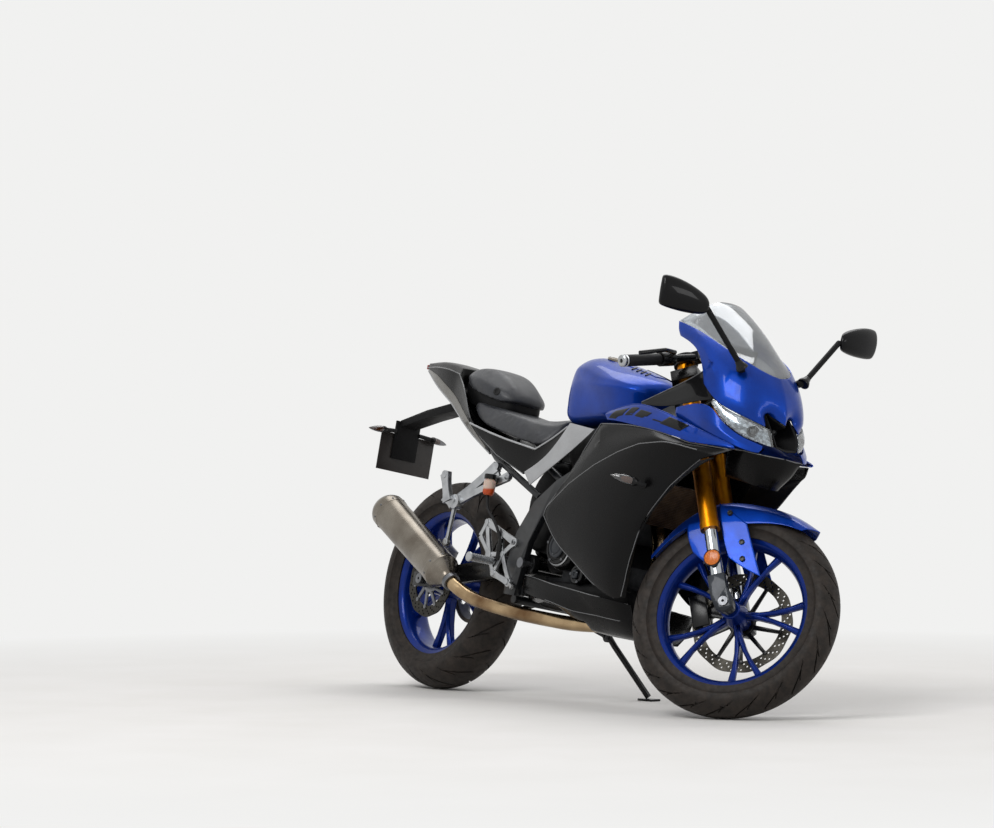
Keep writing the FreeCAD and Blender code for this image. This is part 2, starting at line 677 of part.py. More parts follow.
OUTER_START, OUTER_END = size("outer_tube_start"), size("outer_tube_end")
OUTER_TUBE = size("outer_tube_radius")
INNER_TUBE = size("inner_tube_radius")
FOOT_TOP = size("foot_top")
SEAL_LENGTH = 20
shaped("fork_outer_tubes", both_sides(
    lambda side: fork_tube(side, OUTER_TUBE, OUTER_START, OUTER_END)
    .fuse(fork_tube(side, OUTER_TUBE + 2, OUTER_START - SEAL_LENGTH, OUTER_START))
    .cut(fork_tube(side, INNER_TUBE + size("gap"), OUTER_START - SEAL_LENGTH - 1, OUTER_END - 20))), "fork")
shaped("fork_inner_tubes", both_sides(
    lambda side: fork_tube(side, INNER_TUBE, FOOT_TOP, OUTER_END - 60)), "fork")


def fork_foot(side):
    """Cast foot: a barrel on the tube, running down and forward to the axle clamp."""
    half = size("foot_half_width")
    outline_points = [(TUBE_X - 24, FOOT_TOP), (TUBE_X + 24, FOOT_TOP), (TUBE_X + 24, 40), (26, 8), (22, -20),
                      (0, -30), (-24, -18), (-34, 20), (TUBE_X - 24, 50)]
    foot = plate(outline_points, side * TUBE_Y - half, side * TUBE_Y + half)
    bore = Part.makeCylinder(size("front_axle_radius") + size("gap"), 4 * half,
                             Vector(0, side * TUBE_Y - 2 * half, 0), Vector(0, 1, 0))
    return foot.cut(bore)


shaped("fork_feet", both_sides(fork_foot), "fork")


def clamp(low):
    """A bridge round both tubes and the stem."""
    high = low + size("clamp_height")
    wall = 12
    arm = OUTER_TUBE + wall
    corners = [(TUBE_X - arm, TUBE_Y + arm), (TUBE_X + arm, TUBE_Y + arm), (TUBE_X + arm, TUBE_Y - arm),
               (STEM_X + 40, 30), (STEM_X + 40, -30), (TUBE_X + arm, arm - TUBE_Y),
               (TUBE_X + arm, -arm - TUBE_Y), (TUBE_X - arm, -arm - TUBE_Y), (STEM_X - 32, -24), (STEM_X - 32, 24)]
    face = Part.Face(Part.makePolygon([Vector(x, y, low) for x, y in corners + corners[:1]]))
    block = face.extrude(Vector(0, 0, high - low))
    for side in (-1, 1):
        block = block.cut(fork_tube(side, OUTER_TUBE + size("gap"), low - 1, high + 1))
    return block


def triple_clamps():
    stem = Part.makeCylinder(size("stem_radius"), size("upper_clamp") - size("lower_clamp"),
                             Vector(STEM_X, 0, size("lower_clamp")))
    return clamp(size("lower_clamp")).fuse([clamp(size("upper_clamp")), stem])


shaped("triple_clamps", triple_clamps(), "fork")

BAR_DIRECTION = Vector(-math.sin(math.radians(size("bar_sweep"))), math.cos(math.radians(size("bar_sweep"))),
                       -math.tan(math.radians(size("bar_droop")))).normalize()
CLAMP_MIDDLE = size("outer_tube_end") + size("bar_clamp_rise")
BAR_ROOT = Vector(TUBE_X + 38, TUBE_Y + 8, CLAMP_MIDDLE)
BAR_LENGTH = (size("bar_half_span") - BAR_ROOT.y) / BAR_DIRECTION.y
GRIP_LENGTH = 128
SWITCH_LENGTH = 48
END_LENGTH = 16


def along_bar(side, distance):
    point = BAR_ROOT + BAR_DIRECTION * distance
    return Vector(point.x, side * point.y, point.z)


def bar_run(side, start, end, radius):
    return round_run(along_bar(side, start), along_bar(side, end), radius)


CLAMP_HALF = 14


def handlebar(side):
    """Clip-on: a ring on the fork tube, an arm forward, and the bar."""
    middle = CLAMP_MIDDLE
    ring = Part.makeCylinder(OUTER_TUBE + 8, 2 * CLAMP_HALF, Vector(TUBE_X, side * TUBE_Y, middle - CLAMP_HALF))
    lug = Part.makeBox(46, 34, 2 * CLAMP_HALF - 2, Vector(TUBE_X, side * (TUBE_Y + 8) - 17, middle - CLAMP_HALF + 1))
    clip = ring.fuse([lug, bar_run(side, 0, BAR_LENGTH, size("bar_radius"))])
    hollow = fork_tube(side, OUTER_TUBE + size("gap"), middle - 2 * CLAMP_HALF, OUTER_END + size("gap"))
    weight = bar_run(side, BAR_LENGTH - 2, BAR_LENGTH + END_LENGTH, size("grip_radius") - 1)
    return clip.cut(hollow).fuse(weight)


shaped("handlebars", both_sides(handlebar), "fork")


def grip(side):
    start = BAR_LENGTH - GRIP_LENGTH
    return bar_run(side, start, BAR_LENGTH - 3, size("grip_radius")).cut(
        bar_run(side, start - 1, BAR_LENGTH, size("bar_radius") + size("gap")))


shaped("grips", both_sides(grip), "fork")


def control(side):
    """Switch block and lever perch round the bar."""
    end = BAR_LENGTH - GRIP_LENGTH - 4
    block = bar_run(side, end - SWITCH_LENGTH, end, size("grip_radius") + 4)
    return block.cut(bar_run(side, end - SWITCH_LENGTH - 1, end + 1, size("bar_radius") + size("gap")))


def lever(side):
    """Blade ahead of the grip, from a pivot beside the switch block."""
    ahead = Vector(math.cos(math.radians(size("bar_sweep"))), side * math.sin(math.radians(size("bar_sweep"))), 0)
    pivot = along_bar(side, BAR_LENGTH - GRIP_LENGTH - 24) + ahead * 44
    knuckle = along_bar(side, BAR_LENGTH - GRIP_LENGTH + 30) + ahead * 62
    tip = along_bar(side, BAR_LENGTH - 10) + ahead * 50
    base = along_bar(side, BAR_LENGTH - GRIP_LENGTH - 24) + ahead * 14
    return tube([base, pivot, knuckle, tip], 6).fuse(control(side))


shaped("bar_controls", both_sides(lever), "fork")

# Front mudguard, drawn in the fork's frame: half sections round the axle.
MUDGUARD = (
    # degrees round from straight ahead of the fork, half width, lower edge's radius and half width
    (33, 18, 307, 18),
    (42, 36, 299, 36),
    (52, 50, 276, 54),
    (58, 56, 196, 72),
    (63, 59, 112, 75),
    (74, 61, 104, 75),
    (86, 63, 110, 75),
    (99, 64, 150, 75),
    (110, 64, 196, 72),
    (119, 62, 256, 64),
    (130, 56, 280, 57),
    (139, 46, 290, 46),
)
TREAD_SHARE = 0.78
MUDGUARD_BEND = 226


def mudguard():
    """Shell round the tyre, its blades running down inside the fork legs to a tab on each foot."""
    crown = size("front_crown")
    middle = size("front_tyre_radius") - crown + size("mudguard_clearance") + size("panel_wall")
    grid = []
    for degrees, half, edge_radius, edge_half in MUDGUARD:
        row = []
        for share in (0, 0.4, 0.75, 1):
            rise = math.sqrt(crown ** 2 - (TREAD_SHARE * share * half) ** 2)
            x, z = polar((0, 0), middle + rise, degrees)
            row.append(("O", x, share * half, z))
        bend = max(edge_radius + 2, min(middle + rise - 4, MUDGUARD_BEND))
        x, z = polar((0, 0), bend, degrees)
        row.append(("O", x, half + (edge_half - half) * (0.12 if bend > edge_radius + 2 else 1), z))
        x, z = polar((0, 0), edge_radius, degrees)
        row.append(("O", x, edge_half, z))
        grid.append(row)
    shell = panel([list(reversed(section)) for section in whole(grid)], size("panel_wall"))
    foot_side = TUBE_Y - size("foot_half_width") - size("gap")
    blade_side = MUDGUARD[6][3] - size("panel_wall") / 2
    tabs = [Part.makeBox(11, foot_side - blade_side, 64,
                         Vector(TUBE_X + 12, blade_side if side > 0 else -foot_side, FOOT_TOP - 32))
            for side in (-1, 1)]
    return shell.multiFuse(tabs)


shaped("front_mudguard", mudguard(), "fork")
REFLECTOR_Z = 128
shaped("fork_reflectors", both_sides(
    lambda side: Part.makeCylinder(18, 8, Vector(TUBE_X, side * (TUBE_Y + INNER_TUBE + 0.3), REFLECTOR_Z),
                                   Vector(0, side, 0))), "fork")


def front_caliper():
    """Two-piston caliper behind the left leg, straddling the disc."""
    y = size("front_disc_y")
    middle = polar((0, 0), size("front_disc_radius") - 22, 150)
    block = Part.makeBox(50, 44, 96, Vector(middle[0] - 30, y - 18, middle[1] - 48))
    slot = Part.makeCylinder(size("front_disc_radius") + 5, size("disc_thickness") + 3,
                             Vector(0, y - size("disc_thickness") / 2 - 1.5, 0), Vector(0, 1, 0))
    lug_start = middle[0] + 19
    lug = Part.makeBox(TUBE_X - 24 - size("gap") - lug_start, 14, 36, Vector(lug_start, y + 12, middle[1] - 18))
    return block.fuse(lug).cut(slot)


shaped("front_caliper", front_caliper(), "fork")

# Frame, engine and rear end
MAIN_BEAM = (
    # datum, x, y, z, height
    ("F", -328, 27, 832, 86),
    ("F", -384, 60, 800, 82),
    ("F", -426, 92, 738, 80),
    ("R", 800, 114, 678, 66),
    ("R", 640, 126, 598, 60),
    ("R", 556, 126, 538, 64),
    ("R", 504, 126, 456, 72),
    ("R", 486, 126, 380, 78),
    ("R", 480, 126, 286, 52),
)
WALL = size("frame_wall")
CROSS_TUBE = 15


def along(table, side):
    """A beam through a table of (datum, x, y, z, height), square to its own path."""
    centres = [at(entry[:4], side) for entry in table]
    sections = []
    for index, entry in enumerate(table):
        before, after = centres[max(index - 1, 0)], centres[min(index + 1, len(table) - 1)]
        run = after - before
        sections.append((centres[index], Vector(-run.z, 0, run.x), entry[4]))
    return sections


PIVOT = Vector(size("pivot_x"), 0, size("pivot_z"))
RADIATOR = [(1008, 522), (1034, 516), (1054, 636), (1028, 642)]
RADIATOR_HALF = 100
RADIATOR_BRACKET = [(912, 700), (950, 735), (1046, 622), (1022, 600)]


def across(x, z, radius, half):
    """A round bar across the bike."""
    return Part.makeCylinder(radius, 2 * half, Vector(x, -half, z), Vector(0, 1, 0))


def main_frame():
    head_low = size("lower_clamp") + size("clamp_height") + 1
    head_high = size("upper_clamp") - 1
    head = Part.makeCylinder(size("head_radius"), head_high - head_low, Vector(STEM_X, 0, head_low))
    bore = Part.makeCylinder(size("stem_radius") + size("running_fit"), 400, Vector(STEM_X, 0, head_low - 100))
    head.Placement, bore.Placement = FORK_FRAME, FORK_FRAME
    parts = [head]
    for side in (-1, 1):
        parts.append(bar(along(MAIN_BEAM, side), WALL))
    inside = size("frame_half") - WALL / 2 + 2
    parts.append(across(600, 598, CROSS_TUBE, inside))
    parts.append(across(482, 276, 13, inside))
    for side in (-1, 1):
        low, high = sorted((side * (RADIATOR_HALF + size("gap")), side * (RADIATOR_HALF + 8)))
        parts.append(plate(RADIATOR_BRACKET, low, high))
    bracket = (("R", 478, 120, 262, 34), ("R", 560, 112, 240, 26), ("R", size("stand_x") + 16, 112, 218, 30))
    parts.append(bar(along(bracket, 1), 10))
    frame = parts[0].multiFuse(parts[1:])
    frame = frame.cut(across(PIVOT.x, PIVOT.z, size("pivot_radius") + size("running_fit"), 200))
    stand_bolt = Part.makeCylinder(6, 60, Vector(size("stand_x"), 90, size("stand_z")), Vector(0, 1, 0))
    return frame.cut([bore, stand_bolt])


shaped("main_frame", main_frame())
CRANKCASE = [(585, 300), (562, 350), (640, 352), (650, 440), (600, 480), (640, 512), (770, 512), (870, 470),
             (905, 400), (890, 300), (820, 280), (640, 276)]
CYLINDER = [(775, 505), (872, 470), (972, 632), (866, 700)]
REAR_LUG = [(592, 284), (592, 318), (495, 312), (495, 286)]
FRAME = PIECES["main_frame"][0].Shape


def engine_block():
    """Crankcase and cylinder, with the bosses that the frame's bolts pass into."""
    block = plate(CRANKCASE, -74, 60).multiFuse([plate(CYLINDER, -62, 62), plate(REAR_LUG, -60, 60)])
    bosses = [reach(FRAME, Vector(x, side * 55, z), Vector(0, side, 0), radius)
              for side in (-1, 1) for x, z, radius in ((874, 686, 7), (508, 299, 11))]
    return block.multiFuse(bosses)


shaped("engine_block", engine_block())
CLUTCH = (636, 436)


def engine_covers():
    """Round clutch cover and pump on the right, generator and sprocket covers on the left."""
    def disc(x, z, radius, near, far, crown):
        length = abs(far - near)
        side = 1 if far > near else -1
        body = Part.makeCylinder(radius, length, Vector(x, near, z), Vector(0, side, 0))
        return body.fuse(Part.makeCone(radius, radius - crown, crown, Vector(x, far, z), Vector(0, side, 0)))
    clutch = disc(CLUTCH[0] + 20, CLUTCH[1], 64, -74, -100, 9)
    pump = disc(760, 360, 30, -74, -96, 8)
    generator = disc(720, 372, 66, 60, 92, 9)
    drive = Part.makeCylinder(size("drive_radius") - LINK_HALF_HEIGHT - 1.5, size("chain_y") + 4 - 60,
                              Vector(size("drive_x"), 60, size("drive_z")), Vector(0, 1, 0))
    return Part.makeCompound([clutch, pump, generator, drive])


shaped("engine_covers", engine_covers())

# Swingarm, drawn about the rear axle's height
ARM_Y = size("swingarm_half")
FLARE = size("swingarm_flare")
ARM_WALL = size("swingarm_wall")


def swingarm():
    axle_z = REAR_AXLE.z
    parts = []
    for side in (-1, 1):
        sections = (("R", PIVOT.x, ARM_Y, PIVOT.z, 60), ("R", 400, ARM_Y, 368, 62), ("R", 60, ARM_Y + FLARE, axle_z + 6, 50),
                    ("R", 0, ARM_Y + FLARE, axle_z, 46), ("R", -44, ARM_Y + FLARE, axle_z, 40))
        parts.append(bar(along(sections, side), ARM_WALL))
        parts.append(Part.makeCylinder(30, ARM_WALL, Vector(PIVOT.x, side * ARM_Y - ARM_WALL / 2, PIVOT.z),
                                       Vector(0, 1, 0)))
    inside = ARM_Y - ARM_WALL / 2 + 2
    parts.append(across(PIVOT.x, PIVOT.z, 14, inside))
    box = [(392, 345), (438, 345), (438, 388), (392, 386)]
    parts.append(plate(box, -inside, inside))
    arm = parts[0].multiFuse(parts[1:])
    return arm.cut([across(PIVOT.x, PIVOT.z, size("pivot_radius") + size("running_fit"), 200),
                    across(0, axle_z, size("rear_axle_radius") + size("gap"), 200)])


shaped("swingarm", swingarm())
PIVOT_HALF = size("frame_half") + WALL / 2 + size("gap")
PIVOT_HEAD = 9
shaped("pivot_bolt", across(PIVOT.x, PIVOT.z, size("pivot_radius"), PIVOT_HALF + 2).multiFuse(
    [Part.makeCylinder(15, PIVOT_HEAD, Vector(PIVOT.x, side * PIVOT_HALF, PIVOT.z), Vector(0, side, 0))
     for side in (-1, 1)]))


def rear_shock():
    """Spring and damper between the swingarm's box and the frame's cross tube."""
    eye = 14
    low = Vector(415, 0, 387.2 + eye + size("gap"))
    cross_tube = Vector(600, 0, 598)
    unit = Vector(cross_tube - low).normalize()
    high = cross_tube - unit * (CROSS_TUBE + eye + size("gap"))
    length = (high - low).Length
    parts = [round_run(low, high, 9), round_run(low + unit * 110, high - unit * 12, 21)]
    parts += [across(end.x, end.z, eye, 12) for end in (low, high)]
    coils = 7
    for coil in range(coils):
        start = low + unit * (28 + coil * (length - 70) / coils)
        parts.append(round_run(start, start + unit * 11, 30))
    return parts[0].multiFuse(parts[1:])


shaped("rear_shock", rear_shock())


def rear_caliper():
    y = size("rear_disc_y")
    x, z = polar((0, REAR_AXLE.z), size("rear_disc_radius") - 8, 62)
    block = Part.makeBox(74, 36, 44, Vector(x - 37, y - 16, z - 22))
    block.rotate(Vector(x, y, z), Vector(0, 1, 0), 28)
    slot = Part.makeCylinder(size("rear_disc_radius") + 5, size("disc_thickness") + 3,
                             Vector(0, y - size("disc_thickness") / 2 - 1.5, REAR_AXLE.z), Vector(0, 1, 0))
    arm_inside = ARM_Y + FLARE - ARM_WALL / 2 - 2 * size("gap")
    bracket = Part.makeBox(44, 6, 74, Vector(24, -arm_inside, REAR_AXLE.z + 6))
    return block.cut(slot).fuse(bracket)


shaped("rear_caliper", rear_caliper())

# Side stand: its foot is worked out so that it lies flat on the road.
STAND_PIVOT = Vector(size("stand_x"), size("stand_y"), size("stand_z"))
FOOT_THICKNESS = 6


def side_stand():
    ground = STANDING.inverse()
    level = STANDING.multVec(Vector(size("stand_foot_x"), 0, 0))
    foot_on_road = Vector(level.x, size("stand_foot_reach"), 0)
    foot = Part.makeBox(64, 34, FOOT_THICKNESS, foot_on_road + Vector(-30, -17, 0))
    foot.Placement = ground.multiply(foot.Placement)
    ankle = ground.multVec(foot_on_road + Vector(0, 0, FOOT_THICKNESS + 4))
    knee = STAND_PIVOT + (ankle - STAND_PIVOT) * 0.16 + Vector(0, 8, 0)
    ear = Part.makeCylinder(17, 9, STAND_PIVOT + Vector(0, 5.3, 0), Vector(0, 1, 0))
    bolt = Part.makeCylinder(6 - size("running_fit"), 16, STAND_PIVOT + Vector(0, -7, 0), Vector(0, 1, 0))
    top = STAND_PIVOT + Vector(0, 15.2, 0)
    leg = tube([top, knee + Vector(0, 2, 0), ankle], 9)
    return ear.multiFuse([bolt, leg, foot])


shaped("side_stand", side_stand())

# Exhaust
MUFFLER_REAR = Vector(-112, -198, 500)
MUFFLER_FRONT = Vector(186, -178, 334)
muffler_axis = Vector(MUFFLER_FRONT - MUFFLER_REAR).normalize()
MUFFLER_NOSE = 46


def muffler():
    radius = size("muffler_radius")
    rear = MUFFLER_FRONT - muffler_axis * size("muffler_length")
    body = round_run(rear, MUFFLER_FRONT, radius)
    nose = Part.makeCone(radius, size("pipe_radius") + 5, MUFFLER_NOSE, MUFFLER_FRONT, muffler_axis)
    lip = Part.makeCone(radius - 8, radius, 18, rear - muffler_axis * 18, muffler_axis)
    recess = Part.makeCylinder(radius - 18, 50, rear - muffler_axis * 20, muffler_axis)
    return body.multiFuse([nose, lip]).cut(recess)


shaped("muffler", muffler())
PIPE_START = MUFFLER_FRONT + muffler_axis * (MUFFLER_NOSE + size("gap"))
PIPE = [PIPE_START, PIPE_START + muffler_axis * 22, Vector(300, -156, 272), Vector(410, -136, 248), Vector(515, -110, 234), Vector(613, -90, 228),
        Vector(723, -60, 222), Vector(850, -20, 232), Vector(930, 0, 262), Vector(980, 0, 360), Vector(982, 0, 480), Vector(938, 0, 556)]
shaped("exhaust_pipe", tube(PIPE, size("pipe_radius"), size("pipe_radius") - 2).cut(
    PIECES["engine_block"][0].Shape))

# Body panels. Half sections or rows; columns are datum, x, half width y, height z.
TRIM_WALL = 3
LAMP_DEPTH = 10
TANK = (
    (("R", 545, 0, 1000), ("R", 541, 58, 990), ("R", 534, 84, 962), ("R", 524, 88, 880),
     ("R", 518, 78, 800), ("R", 518, 0, 796)),
    (("R", 598, 0, 1012), ("R", 600, 68, 1002), ("R", 604, 108, 964), ("R", 606, 106, 890),
     ("R", 600, 90, 798), ("R", 600, 0, 792)),
    (("R", 700, 0, 1003), ("R", 700, 84, 988), ("R", 694, 130, 938), ("R", 700, 122, 890),
     ("R", 700, 102, 800), ("R", 700, 0, 792)),
    (("R", 810, 0, 978), ("R", 812, 88, 962), ("R", 815, 134, 918), ("R", 812, 124, 876),
     ("R", 805, 108, 806), ("R", 805, 0, 798)),
    (("R", 880, 0, 950), ("R", 880, 72, 938), ("R", 882, 112, 905), ("R", 880, 108, 870),
     ("R", 872, 92, 826), ("R", 872, 0, 820)),
    (("R", 918, 0, 930), ("R", 918, 44, 922), ("R", 918, 66, 895), ("R", 914, 64, 868),
     ("R", 910, 56, 842), ("R", 910, 0, 838)),
)


def fuel_tank():
    """The tank, with a stub on each side down to the frame's beams."""
    body = lofted(rings(TANK))
    stubs = [reach(FRAME, Vector(845, side * 96, 830), Vector(0, 0, -1), 8) for side in (-1, 1)]
    return body.multiFuse(stubs)


shaped("fuel_tank", fuel_tank())
RIDER_SEAT = (
    (("R", 60, 0, 876), ("R", 62, 50, 882), ("R", 66, 92, 870), ("R", 66, 96, 854), ("R", 60, 0, 850)),
    (("R", 165, 0, 856), ("R", 165, 64, 858), ("R", 165, 110, 848), ("R", 160, 110, 790),
     ("R", 160, 0, 786)),
    (("R", 285, 0, 838), ("R", 285, 76, 846), ("R", 292, 122, 830), ("R", 296, 123, 759),
     ("R", 290, 0, 754)),
    (("R", 400, 0, 828), ("R", 400, 74, 832), ("R", 400, 116, 814), ("R", 402, 119, 738),
     ("R", 400, 0, 734)),
    (("R", 480, 0, 834), ("R", 478, 56, 828), ("R", 480, 92, 806), ("R", 478, 110, 727),
     ("R", 478, 0, 725)),
    (("R", 520, 0, 850), ("R", 512, 48, 838), ("R", 512, 74, 808), ("R", 522, 88, 770), ("R", 514, 0, 764)),
)
shaped("rider_seat", lofted(rings(RIDER_SEAT)))
PILLION_SEAT = (
    (("R", -35, 0, 966), ("R", -30, 48, 961), ("R", -25, 68, 948), ("R", -18, 68, 934), ("R", -18, 0, 930)),
    (("R", 41, 0, 978), ("R", 41, 60, 973), ("R", 50, 94, 950), ("R", 58, 96, 896), ("R", 58, 0, 892)),
    (("R", 120, 0, 973), ("R", 120, 64, 965), ("R", 126, 96, 936), ("R", 132, 96, 880), ("R", 132, 0, 876)),
    (("R", 182, 0, 944), ("R", 184, 58, 936), ("R", 188, 88, 906), ("R", 192, 90, 868), ("R", 192, 0, 864)),
    (("R", 246, 0, 886), ("R", 242, 44, 881), ("R", 240, 62, 874), ("R", 238, 64, 864), ("R", 238, 0, 860)),
)
shaped("pillion_seat", lofted(rings(PILLION_SEAT)))
FRONT_RAIL_Y = size("frame_half") - WALL / 2 - 11 - size("gap")
SEAT_RAIL = (
    ("R", 640, FRONT_RAIL_Y, 613), ("R", 480, 96, 690), ("R", 330, 84, 702), ("R", 200, 72, 716), ("R", 110, 68, 752),
    ("R", 30, 58, 806), ("R", -110, 44, 900),
)
SIDE_ROD = (("R", 262, 100, 690), ("R", 196, 74, 716))
SIDE_ROD_FOOT = ("R", 552, 126, 572)
# Places on the rail: the number of its run, and the share along that run.
SEAT_POSTS = ((1, 1.0), (1, 0.27))
CROSS_TUBES = ((0, 0.4), (1, 1.0), (5, 0.643))


def on_rail(run, share, side=1):
    start, end = at(SEAT_RAIL[run], side), at(SEAT_RAIL[run + 1], side)
    return start + (end - start) * share


def seat_rails():
    """Rear frame with the posts that carry the tank and the rider's seat."""
    tank, seat = PIECES["fuel_tank"][0].Shape, PIECES["rider_seat"][0].Shape
    up = Vector(0, 0, 1)
    parts = []
    for side in (-1, 1):
        parts.append(tube([at(entry, side) for entry in SEAT_RAIL], 11))
        parts.append(tube([at(entry, side) for entry in SIDE_ROD], 10))
        rod_end = at(SIDE_ROD[0], side)
        parts.append(Part.makeSphere(10, rod_end))
        parts.append(reach(FRAME, rod_end, at(SIDE_ROD_FOOT, side) - rod_end, 10))
        parts += [reach(seat, on_rail(run, share, side), up, 7) for run, share in SEAT_POSTS]
    ends = [on_rail(run, share) for run, share in CROSS_TUBES]
    parts += [across(end.x, end.z, 9, end.y) for end in ends]
    parts.append(reach(tank, Vector(ends[0].x, 0, ends[0].z), up, 9))
    return parts[0].multiFuse(parts[1:])


shaped("seat_rails", seat_rails())
RAILS = PIECES["seat_rails"][0].Shape
TAIL = (
    (("R", -281, 0, 997), ("R", -280, 28, 991), ("R", -284, 31, 978), ("R", -285, 25, 967)),
    (("R", -190, 0, 1001), ("R", -187, 44, 996), ("R", -190, 62, 975), ("R", -205, 48, 925)),
    (("R", -100, 0, 990), ("R", -100, 60, 985), ("R", -92, 82, 962), ("R", -125, 60, 885)),
    (("R", -46, 0, 972), ("R", -46, 62, 968), ("R", -38, 86, 954), ("R", -74, 66, 862)),
    (("R", -42, 0, 916), ("R", -42, 66, 914), ("R", -12, 92, 944), ("R", -55, 70, 850)),
    (("R", 32, 0, 838), ("R", 34, 80, 838), ("R", 52, 108, 888), ("R", 28, 84, 802)),
    (("R", 108, 0, 790), ("R", 110, 92, 790), ("R", 108, 116, 806), ("R", 104, 96, 760)),
    (("R", 200, 0, 746), ("R", 202, 96, 746), ("R", 212, 116, 742), ("R", 232, 106, 700)),
)


def tail_cowl():
    shell = panel(whole(TAIL), size("panel_wall"))
    bosses = [boss(shell, RAILS, Vector(x, side * 150, z), Vector(0, -side, 0), 5)
              for side in (-1, 1) for x, z in ((-62, 866), (206, 722))]
    bosses += [boss(shell, PIECES["pillion_seat"][0].Shape, Vector(4, side * 40, 700), Vector(0, 0, 1), 8)
               for side in (-1, 1)]
    return shell.multiFuse(bosses)


shaped("tail_cowl", tail_cowl())
shaped("tail_light", Part.makeBox(10, 56, 14, Vector(-295.2, -28, 973)))
SIDE_PANEL = (
    (("R", 122, 122, 792), ("R", 232, 127, 766), ("R", 330, 128, 744), ("R", 480, 123, 716),
     ("R", 540, 108, 754), ("R", 592, 98, 792)),
    (("R", 180, 121, 752), ("R", 250, 127, 728), ("R", 340, 130, 706), ("R", 470, 130, 684),
     ("R", 540, 124, 706), ("R", 602, 118, 744)),
    (("R", 246, 120, 712), ("R", 290, 126, 696), ("R", 360, 132, 672), ("R", 452, 134, 640),
     ("R", 520, 134, 664), ("R", 586, 132, 700)),
)


def bolted(table, carrier, places, radius=6):
    """A pair of side panels with bosses inwards, at places given as (x, z)."""
    def one(side):
        shell = side_panel(table, side, size("panel_wall"))
        return shell.multiFuse([boss(shell, carrier, Vector(x, side * 300, z), Vector(0, -side, 0), radius)
                                for x, z in places])
    return both_sides(one)


shaped("side_panels", bolted(SIDE_PANEL, RAILS, ((400, 696), (300, 708))))
ACCENT = (
    (("R", 462, 137.8, 646), ("R", 538, 137.8, 680), ("R", 594, 136.6, 728), ("R", 644, 134, 794)),
    (("R", 505, 142, 608), ("R", 590, 142, 658), ("R", 700, 140, 724), ("R", 768, 136, 776)),
)
shaped("accent_panels", both_sides(lambda side: side_panel(ACCENT, side, TRIM_WALL)))
COWL = (
    (("F", -267, 128, 1089), ("F", -175, 124, 1062), ("F", -105, 114, 1030), ("F", -45, 102, 1003),
     ("F", 0, 86, 982), ("F", 32, 58, 963), ("F", 50, 30, 952), ("F", 58, 0, 947)),
    (("F", -260, 133, 1074), ("F", -160, 134, 1040), ("F", -85, 134, 992), ("F", -25, 128, 955),
     ("F", 25, 108, 930), ("F", 63, 78, 916), ("F", 85, 40, 908), ("F", 92, 0, 905)),
    (("F", -253, 133, 1061), ("F", -154, 137, 1024), ("F", -80, 147, 955), ("F", -18, 148, 902),
     ("F", 32, 126, 875), ("F", 75, 94, 862), ("F", 98, 50, 860), ("F", 106, 0, 858)),
    (("F", -248, 130, 1049), ("F", -150, 136, 1010), ("F", -78, 153, 925), ("F", -30, 154, 857),
     ("F", 17, 135, 831), ("F", 65, 104, 816), ("F", 84, 56, 824), ("F", 102, 0, 817)),
)
SCREEN = (
    (("F", -205, 0, 1166), ("F", -210, 45, 1160), ("F", -228, 85, 1138)),
    (("F", -125, 0, 1118), ("F", -128, 48, 1110), ("F", -142, 88, 1090)),
    (("F", -50, 0, 1062), ("F", -54, 42, 1054), ("F", -72, 78, 1040)),
    (("F", 10, 0, 1003), ("F", 4, 36, 998), ("F", -10, 66, 996)),
)
SEAM = 3.2


def windscreen():
    """Clear screen; its edge runs one seam inside the cowl's upper edge."""
    edge = COWL[0]
    grid = [list(row) + [entry] for row, entry in zip(SCREEN, edge)]
    grid.append(list(reversed(edge[len(SCREEN):])))
    sections = whole(grid)
    last = len(sections) - 1
    for row, section in enumerate(sections):
        inward = [(0, 1), (-1, -2)] if row < last else []
        for outer, inner in inward:
            step = Vector(section[inner] - section[outer]).normalize() * SEAM
            section[outer] = section[outer] + step
    above = sections[last - 1]
    sections[last] = [point + Vector(other - point).normalize() * SEAM
                      for point, other in zip(sections[last], above)]
    return panel(sections, size("panel_wall")).cut(UPPER_COWL)


CHEEK = (
    (("F", -180, 158, 836), ("F", -84, 163, 852), ("F", -29, 156, 848), ("F", 12, 149, 803.4),
     ("F", 64, 116, 768.4), ("F", 103, 82, 754), ("F", 132, 48, 744)),
    (("F", -180, 158, 824), ("F", -80, 164, 815), ("F", -20, 162, 800), ("F", 25, 154, 775),
     ("F", 72, 128, 750), ("F", 110, 95, 737), ("F", 136, 50, 733)),
    (("F", -180, 154, 812), ("F", -80, 156, 778), ("F", -20, 154, 764), ("F", 25, 148, 752),
     ("F", 78, 132, 738), ("F", 110, 100, 724), ("F", 134, 54, 726)),
)
UPPER_COWL = nose_wrap(COWL, size("panel_wall"))
shaped("upper_cowl", UPPER_COWL)
shaped("windscreen", windscreen())
shaped("cheek_panels", both_sides(lambda side: side_panel(CHEEK, side, TRIM_WALL)))
HEADLIGHT = (
    (("F", -26, 150, 853.2), ("F", 17, 132, 827.2), ("F", 62, 101, 812.2), ("F", 104, 57, 795.2)),
    (("F", -24, 152, 849), ("F", 16, 146, 815), ("F", 68, 112, 790), ("F", 118, 54, 772)),
    (("F", -25, 151, 846), ("F", 13, 146, 805), ("F", 63, 112, 769), ("F", 130, 46, 747)),
)
shaped("headlights", both_sides(lambda side: side_panel(HEADLIGHT, side, LAMP_DEPTH)))
NOSE_DUCT = (
    (("F", 70, 0, 812), ("F", 70, 38, 806), ("F", 70, 44, 790), ("F", 70, 36, 752), ("F", 70, 0, 746)),
    (("F", 96, 0, 806), ("F", 92, 40, 812), ("F", 96, 46, 790), ("F", 112, 36, 756), ("F", 112, 0, 752)),
)
